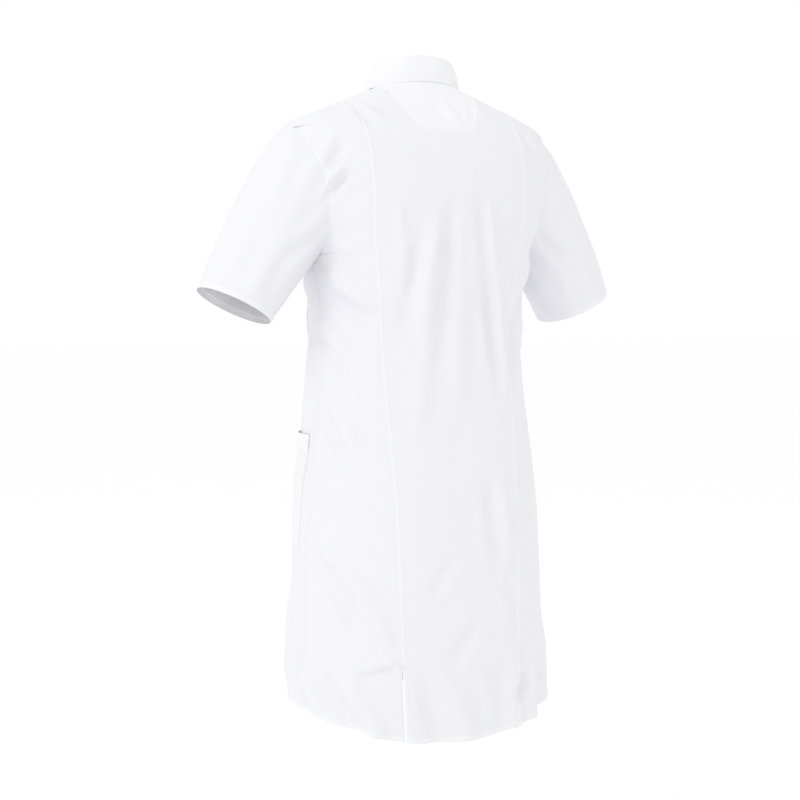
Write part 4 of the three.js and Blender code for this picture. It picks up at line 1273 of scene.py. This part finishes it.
def patch_pocket(name, group, low, high, start_of, width, fullness, hem_depth, left):
    bands = (0, 0.5, 1.0, 1.7, 2.4, 3.4, 4.6)
    ups = spread(low, high, 3.0, bands, (0, 0.6, 1.5))
    hem = np.array([high - hem_depth + d for d in (-1.6, -0.8, -0.2, 0.4, 1.2)])
    ups = np.unique(np.concatenate([ups, hem]))
    distances = spread(0, width, 3.0, bands, bands)
    angles = walk(ups, start_of(ups), distances)
    up = np.broadcast_to(ups[:, None], angles.shape)
    across_share = distances[None] / width
    rise = np.clip((up - low) / ((high - low) * 0.75), 0, 1)
    crown = np.sqrt(np.clip(np.sin(math.pi * across_share), 0, 1)) * rise * rise * (3 - 2 * rise)
    to_side = np.minimum(distances[None], width - distances[None]) + 0 * up
    to_low = up - low
    rim = np.minimum(to_side, to_low)
    ride_up = 0.35 + 0.85 * np.clip(rim / 1.2, 0, 1)
    groove = -0.35 * np.exp(-((rim - 2.4) / 0.6) ** 2)
    over_hem = up - (high - hem_depth)
    mouth = 0.7 * np.clip(over_hem / 0.9, 0, 1) - 0.35 * np.exp(-((over_hem - 1) / 0.8) ** 2)
    sag = 0.5 * np.sin(across_share * 9.0 + up / 19) * np.clip(to_side / 14, 0, 1)
    lift = ride_up + groove + mouth + fullness * crown + sag
    lift = lift + 0.6 * pucker(rim, up + distances[None], 2.4, 0.8)
    turned = (math.pi - angles) if left else angles
    grid = trunk_point(turned, up, lift)
    normal = body_normal(turned, up)
    # Layer count for the painted shade: the turned mouth gets the whiter colour, the rest a little of it
    plies = np.clip((up - (high - hem_depth)) / 0.9, 0, 1) + 0.3
    piece = grid_to_cloth(name, grid, outward=normal, double=np.clip(plies, 0, 1))
    at = bands.index(2.4)
    sew(group, grid[at:, at], normal[at:, at])
    sew(group, grid[at:, -1 - at], normal[at:, -1 - at])
    sew(group, grid[at, at:-at], normal[at, at:-at])
    row = int(np.argmin(np.abs(ups - (high - hem_depth + 1.2))))
    sew(group, grid[row, 2:-2], normal[row, 2:-2])
    return piece, body_point(turned, up)


lower_low, lower_high, lower_width, lower_gap = 268, 448, 158, 22
chest_low, chest_high, chest_width, chest_inset = 596, 716, 92, 6


def lower_start(ups):
    return walk(ups, side_edge(ups, True), np.array([float(lower_gap)]))[:, 0]


def chest_start(ups):
    """Walks back from the line beside the princess seam by the pocket's width."""
    edge = angle_at_x(np.full(len(ups), float(front_seam + chest_inset)), ups, True)
    sweep = np.linspace(0, 0.9, 300)
    angles = edge[:, None] - sweep
    points = body_point(angles, ups[:, None])
    run = np.concatenate([np.zeros((len(ups), 1)),
                          np.cumsum(np.linalg.norm(np.diff(points, axis=1), axis=2), axis=1)], axis=1)
    return np.array([np.interp(chest_width, run[r], angles[r]) for r in range(len(ups))])


pockets = {
    "lower_pocket_right": patch_pocket("lower_pocket_right_cloth", "trunk", lower_low, lower_high,
                                       lower_start, lower_width, 3.0, 22, False),
    "lower_pocket_left": patch_pocket("lower_pocket_left_cloth", "trunk", lower_low, lower_high, lower_start,
                                      lower_width, 3.0, 22, True),
    "chest_pocket": patch_pocket("chest_pocket_cloth", "trunk", chest_low, chest_high, chest_start,
                                 chest_width, 3.0, 20, True),
}

# %% [markdown]
# ## Press studs
# Each stud is a plastic cap on the outside of the left front, a socket ring behind it and a post on
# the right front. One of each is modelled from a short cylinder, then copied to its six places.


# %% One of each stud part
def clear_selection():
    for item in bpy.context.selected_objects:
        item.select_set(False)


def turned_part(name, radius, height, rings):
    """A round part: a cylinder whose top is inset and moved ring by ring, then its edges rounded."""
    clear_selection()
    bpy.ops.mesh.primitive_cylinder_add(vertices=40, radius=radius * MM, depth=height * MM,
                                        location=(0, 0, height * MM / 2))
    part = bpy.context.object
    part.name = name
    bpy.ops.object.transform_apply(location=True, rotation=True, scale=True)
    for inset, raise_by in rings:
        bpy.ops.object.mode_set(mode="EDIT")
        bpy.ops.mesh.select_all(action="DESELECT")
        bpy.ops.object.mode_set(mode="OBJECT")
        caps = [face for face in part.data.polygons if face.normal.z > 0.9 and len(face.vertices) > 4]
        top = max(face.center.z for face in caps)
        for face in part.data.polygons:
            face.select = len(face.vertices) > 4 and face.normal.z > 0.9 and abs(face.center.z - top) < 1e-6
        bpy.ops.object.mode_set(mode="EDIT")
        bpy.ops.mesh.select_mode(type="FACE")
        bpy.ops.mesh.inset(thickness=inset * MM, depth=0)
        bpy.ops.transform.translate(value=(0, 0, raise_by * MM))
        bpy.ops.object.mode_set(mode="OBJECT")
        for face in part.data.polygons:
            if face.select and len(face.vertices) > 4:
                for vertex in face.vertices:
                    part.data.vertices[vertex].select = True
    bevel = part.modifiers.new("rounded", "BEVEL")
    bevel.width = 0.22 * MM
    bevel.segments = 2
    bevel.limit_method = "ANGLE"
    bevel.angle_limit = math.radians(35)
    clear_selection()
    part.select_set(True)
    bpy.context.view_layer.objects.active = part
    bpy.ops.object.modifier_apply(modifier=bevel.name)
    bpy.ops.object.shade_smooth_by_angle(angle=math.radians(40))
    return part


cap_model = turned_part("cap_model", 6.0, 0.8, [(0.5, 0.25), (1.2, 0.42), (2.0, 0.18)])
socket_model = turned_part("socket_model", 5.2, 0.9, [(0.9, 0.0), (0.5, 0.9), (0.9, 0.0), (0.5, -1.2)])
post_model = turned_part("post_model", 5.2, 0.6, [(0.8, 0.12), (2.0, 0.0), (0.35, 1.3), (0.6, 0.35)])


def place_stud(model, name, node, level, lift, finish, body):
    clear_selection()
    piece = model.copy()
    piece.data = model.data.copy()
    piece.name = name
    scene.collection.objects.link(piece)
    quarter, up = np.array(math.pi / 2), np.array(float(level))
    out = Vector(body_normal(quarter, up).tolist())
    spot = Vector(((body_point(quarter, up) + np.array(body_normal(quarter, up)) * lift) * MM).tolist())
    turn_matrix = out.to_track_quat("Z", "X").to_matrix().to_4x4()
    turn_matrix.translation = spot
    piece.data.transform(turn_matrix)
    piece.data.materials.clear()
    piece.data.materials.append(finish)
    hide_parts(node)
    if body == "root":
        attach(piece, "root")
    else:
        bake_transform(piece)
    return piece


stud_pieces = {"front_left": [], "front_right": []}
for number, level in enumerate(stud_levels, 1):
    left_body, right_body = ("root", "root") if number == 1 else ("front_left", "front_right")
    name = f"stud_{number}"
    stud_pieces["front_left"].append(place_stud(cap_model, f"{name}_cap_shell", f"{name}_cap", level, 4.52,
                                                stud_plastic, left_body))
    stud_pieces["front_left"].append(place_stud(socket_model, f"{name}_socket_ring", f"{name}_socket", level,
                                                1.35, stud_metal, left_body))
    stud_pieces["front_right"].append(place_stud(post_model, f"{name}_post_stem", f"{name}_post", level, 0.05,
                                                 stud_metal, right_body))
for model in (cap_model, socket_model, post_model):
    bpy.data.objects.remove(model)
print(sum(len(group) for group in stud_pieces.values()), "stud parts placed")

# %% [markdown]
# ## Join the threads, and give each piece its place in the model
# Threads ride with the cloth they are sewn into. The cloth that crosses a joint keeps its place with
# its transform baked in; everything else rides on a body of the model, most of it on the coat's fixed body.

# %% Threads
sewing = {group: thread_piece(f"stitches_{group}", group) for group in threads}
for piece in sewing.values():
    piece.data.materials.append(thread_finish)
front_bend = {hand: ("root", f"front_{hand}", bend_from, bend_to) for hand in ("left", "right")}
tail_bend = ("root", "tail", tail_from, tail_to)
sleeve_bend = {}
for hand, sign in (("right", 1), ("left", -1)):
    across_arm = Vector((sign * 0.985, 0, -0.174))
    sleeve_bend[hand] = ("root", f"sleeve_{hand}_tube", across_arm * 0.2315, across_arm * 0.305)
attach(sewing["trunk"], "root")
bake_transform(sewing["back"])
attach(sewing["loop"], "loop")
for hand in ("left", "right"):
    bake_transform(sewing[f"front_{hand}"])
    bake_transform(sewing[f"sleeve_{hand}"])

finish_cloth(centre_back, centre_back_smooth, ["back_panel", "tail_flap"],
             blend=tail_bend)
for hand, (cloth_piece, smooth) in (("left", front_left), ("right", front_right)):
    finish_cloth(cloth_piece, smooth, [f"front_panel_{hand}", f"upper_panel_{hand}"],
                 blend=front_bend[hand])
for hand, (cloth_piece, smooth) in (("left", facing_left), ("right", facing_right)):
    finish_cloth(cloth_piece, smooth, [f"front_facing_{hand}", f"upper_facing_{hand}"],
                 blend=front_bend[hand])
for hand, (cloth_piece, smooth) in sleeves.items():
    finish_cloth(cloth_piece, smooth, [f"sleeve_{hand}", f"sleeve_head_{hand}"],
                 blend=sleeve_bend[hand])
for node, (cloth_piece, smooth) in pockets.items():
    panel = f"side_front_{'left' if node != 'lower_pocket_right' else 'right'}"
    finish_cloth(cloth_piece, smooth, [node])
finish_cloth(collar_stand, stand_grid, ["collar_stand"])
finish_cloth(collar_fall, fall_grid, ["collar_fall"])
finish_cloth(neck_facing, facing_smooth, ["back_neck_facing"])
finish_cloth(size_label, label_smooth, ["size_label"], finish=label_satin)
hanger_loop.data.materials.append(white_tape)
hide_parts("hanger_loop")
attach(hanger_loop, "loop")

# %% Sizes beside the model's, and the end
print("Model reach", [round(value, 3) for value in cad_low + cad_high])
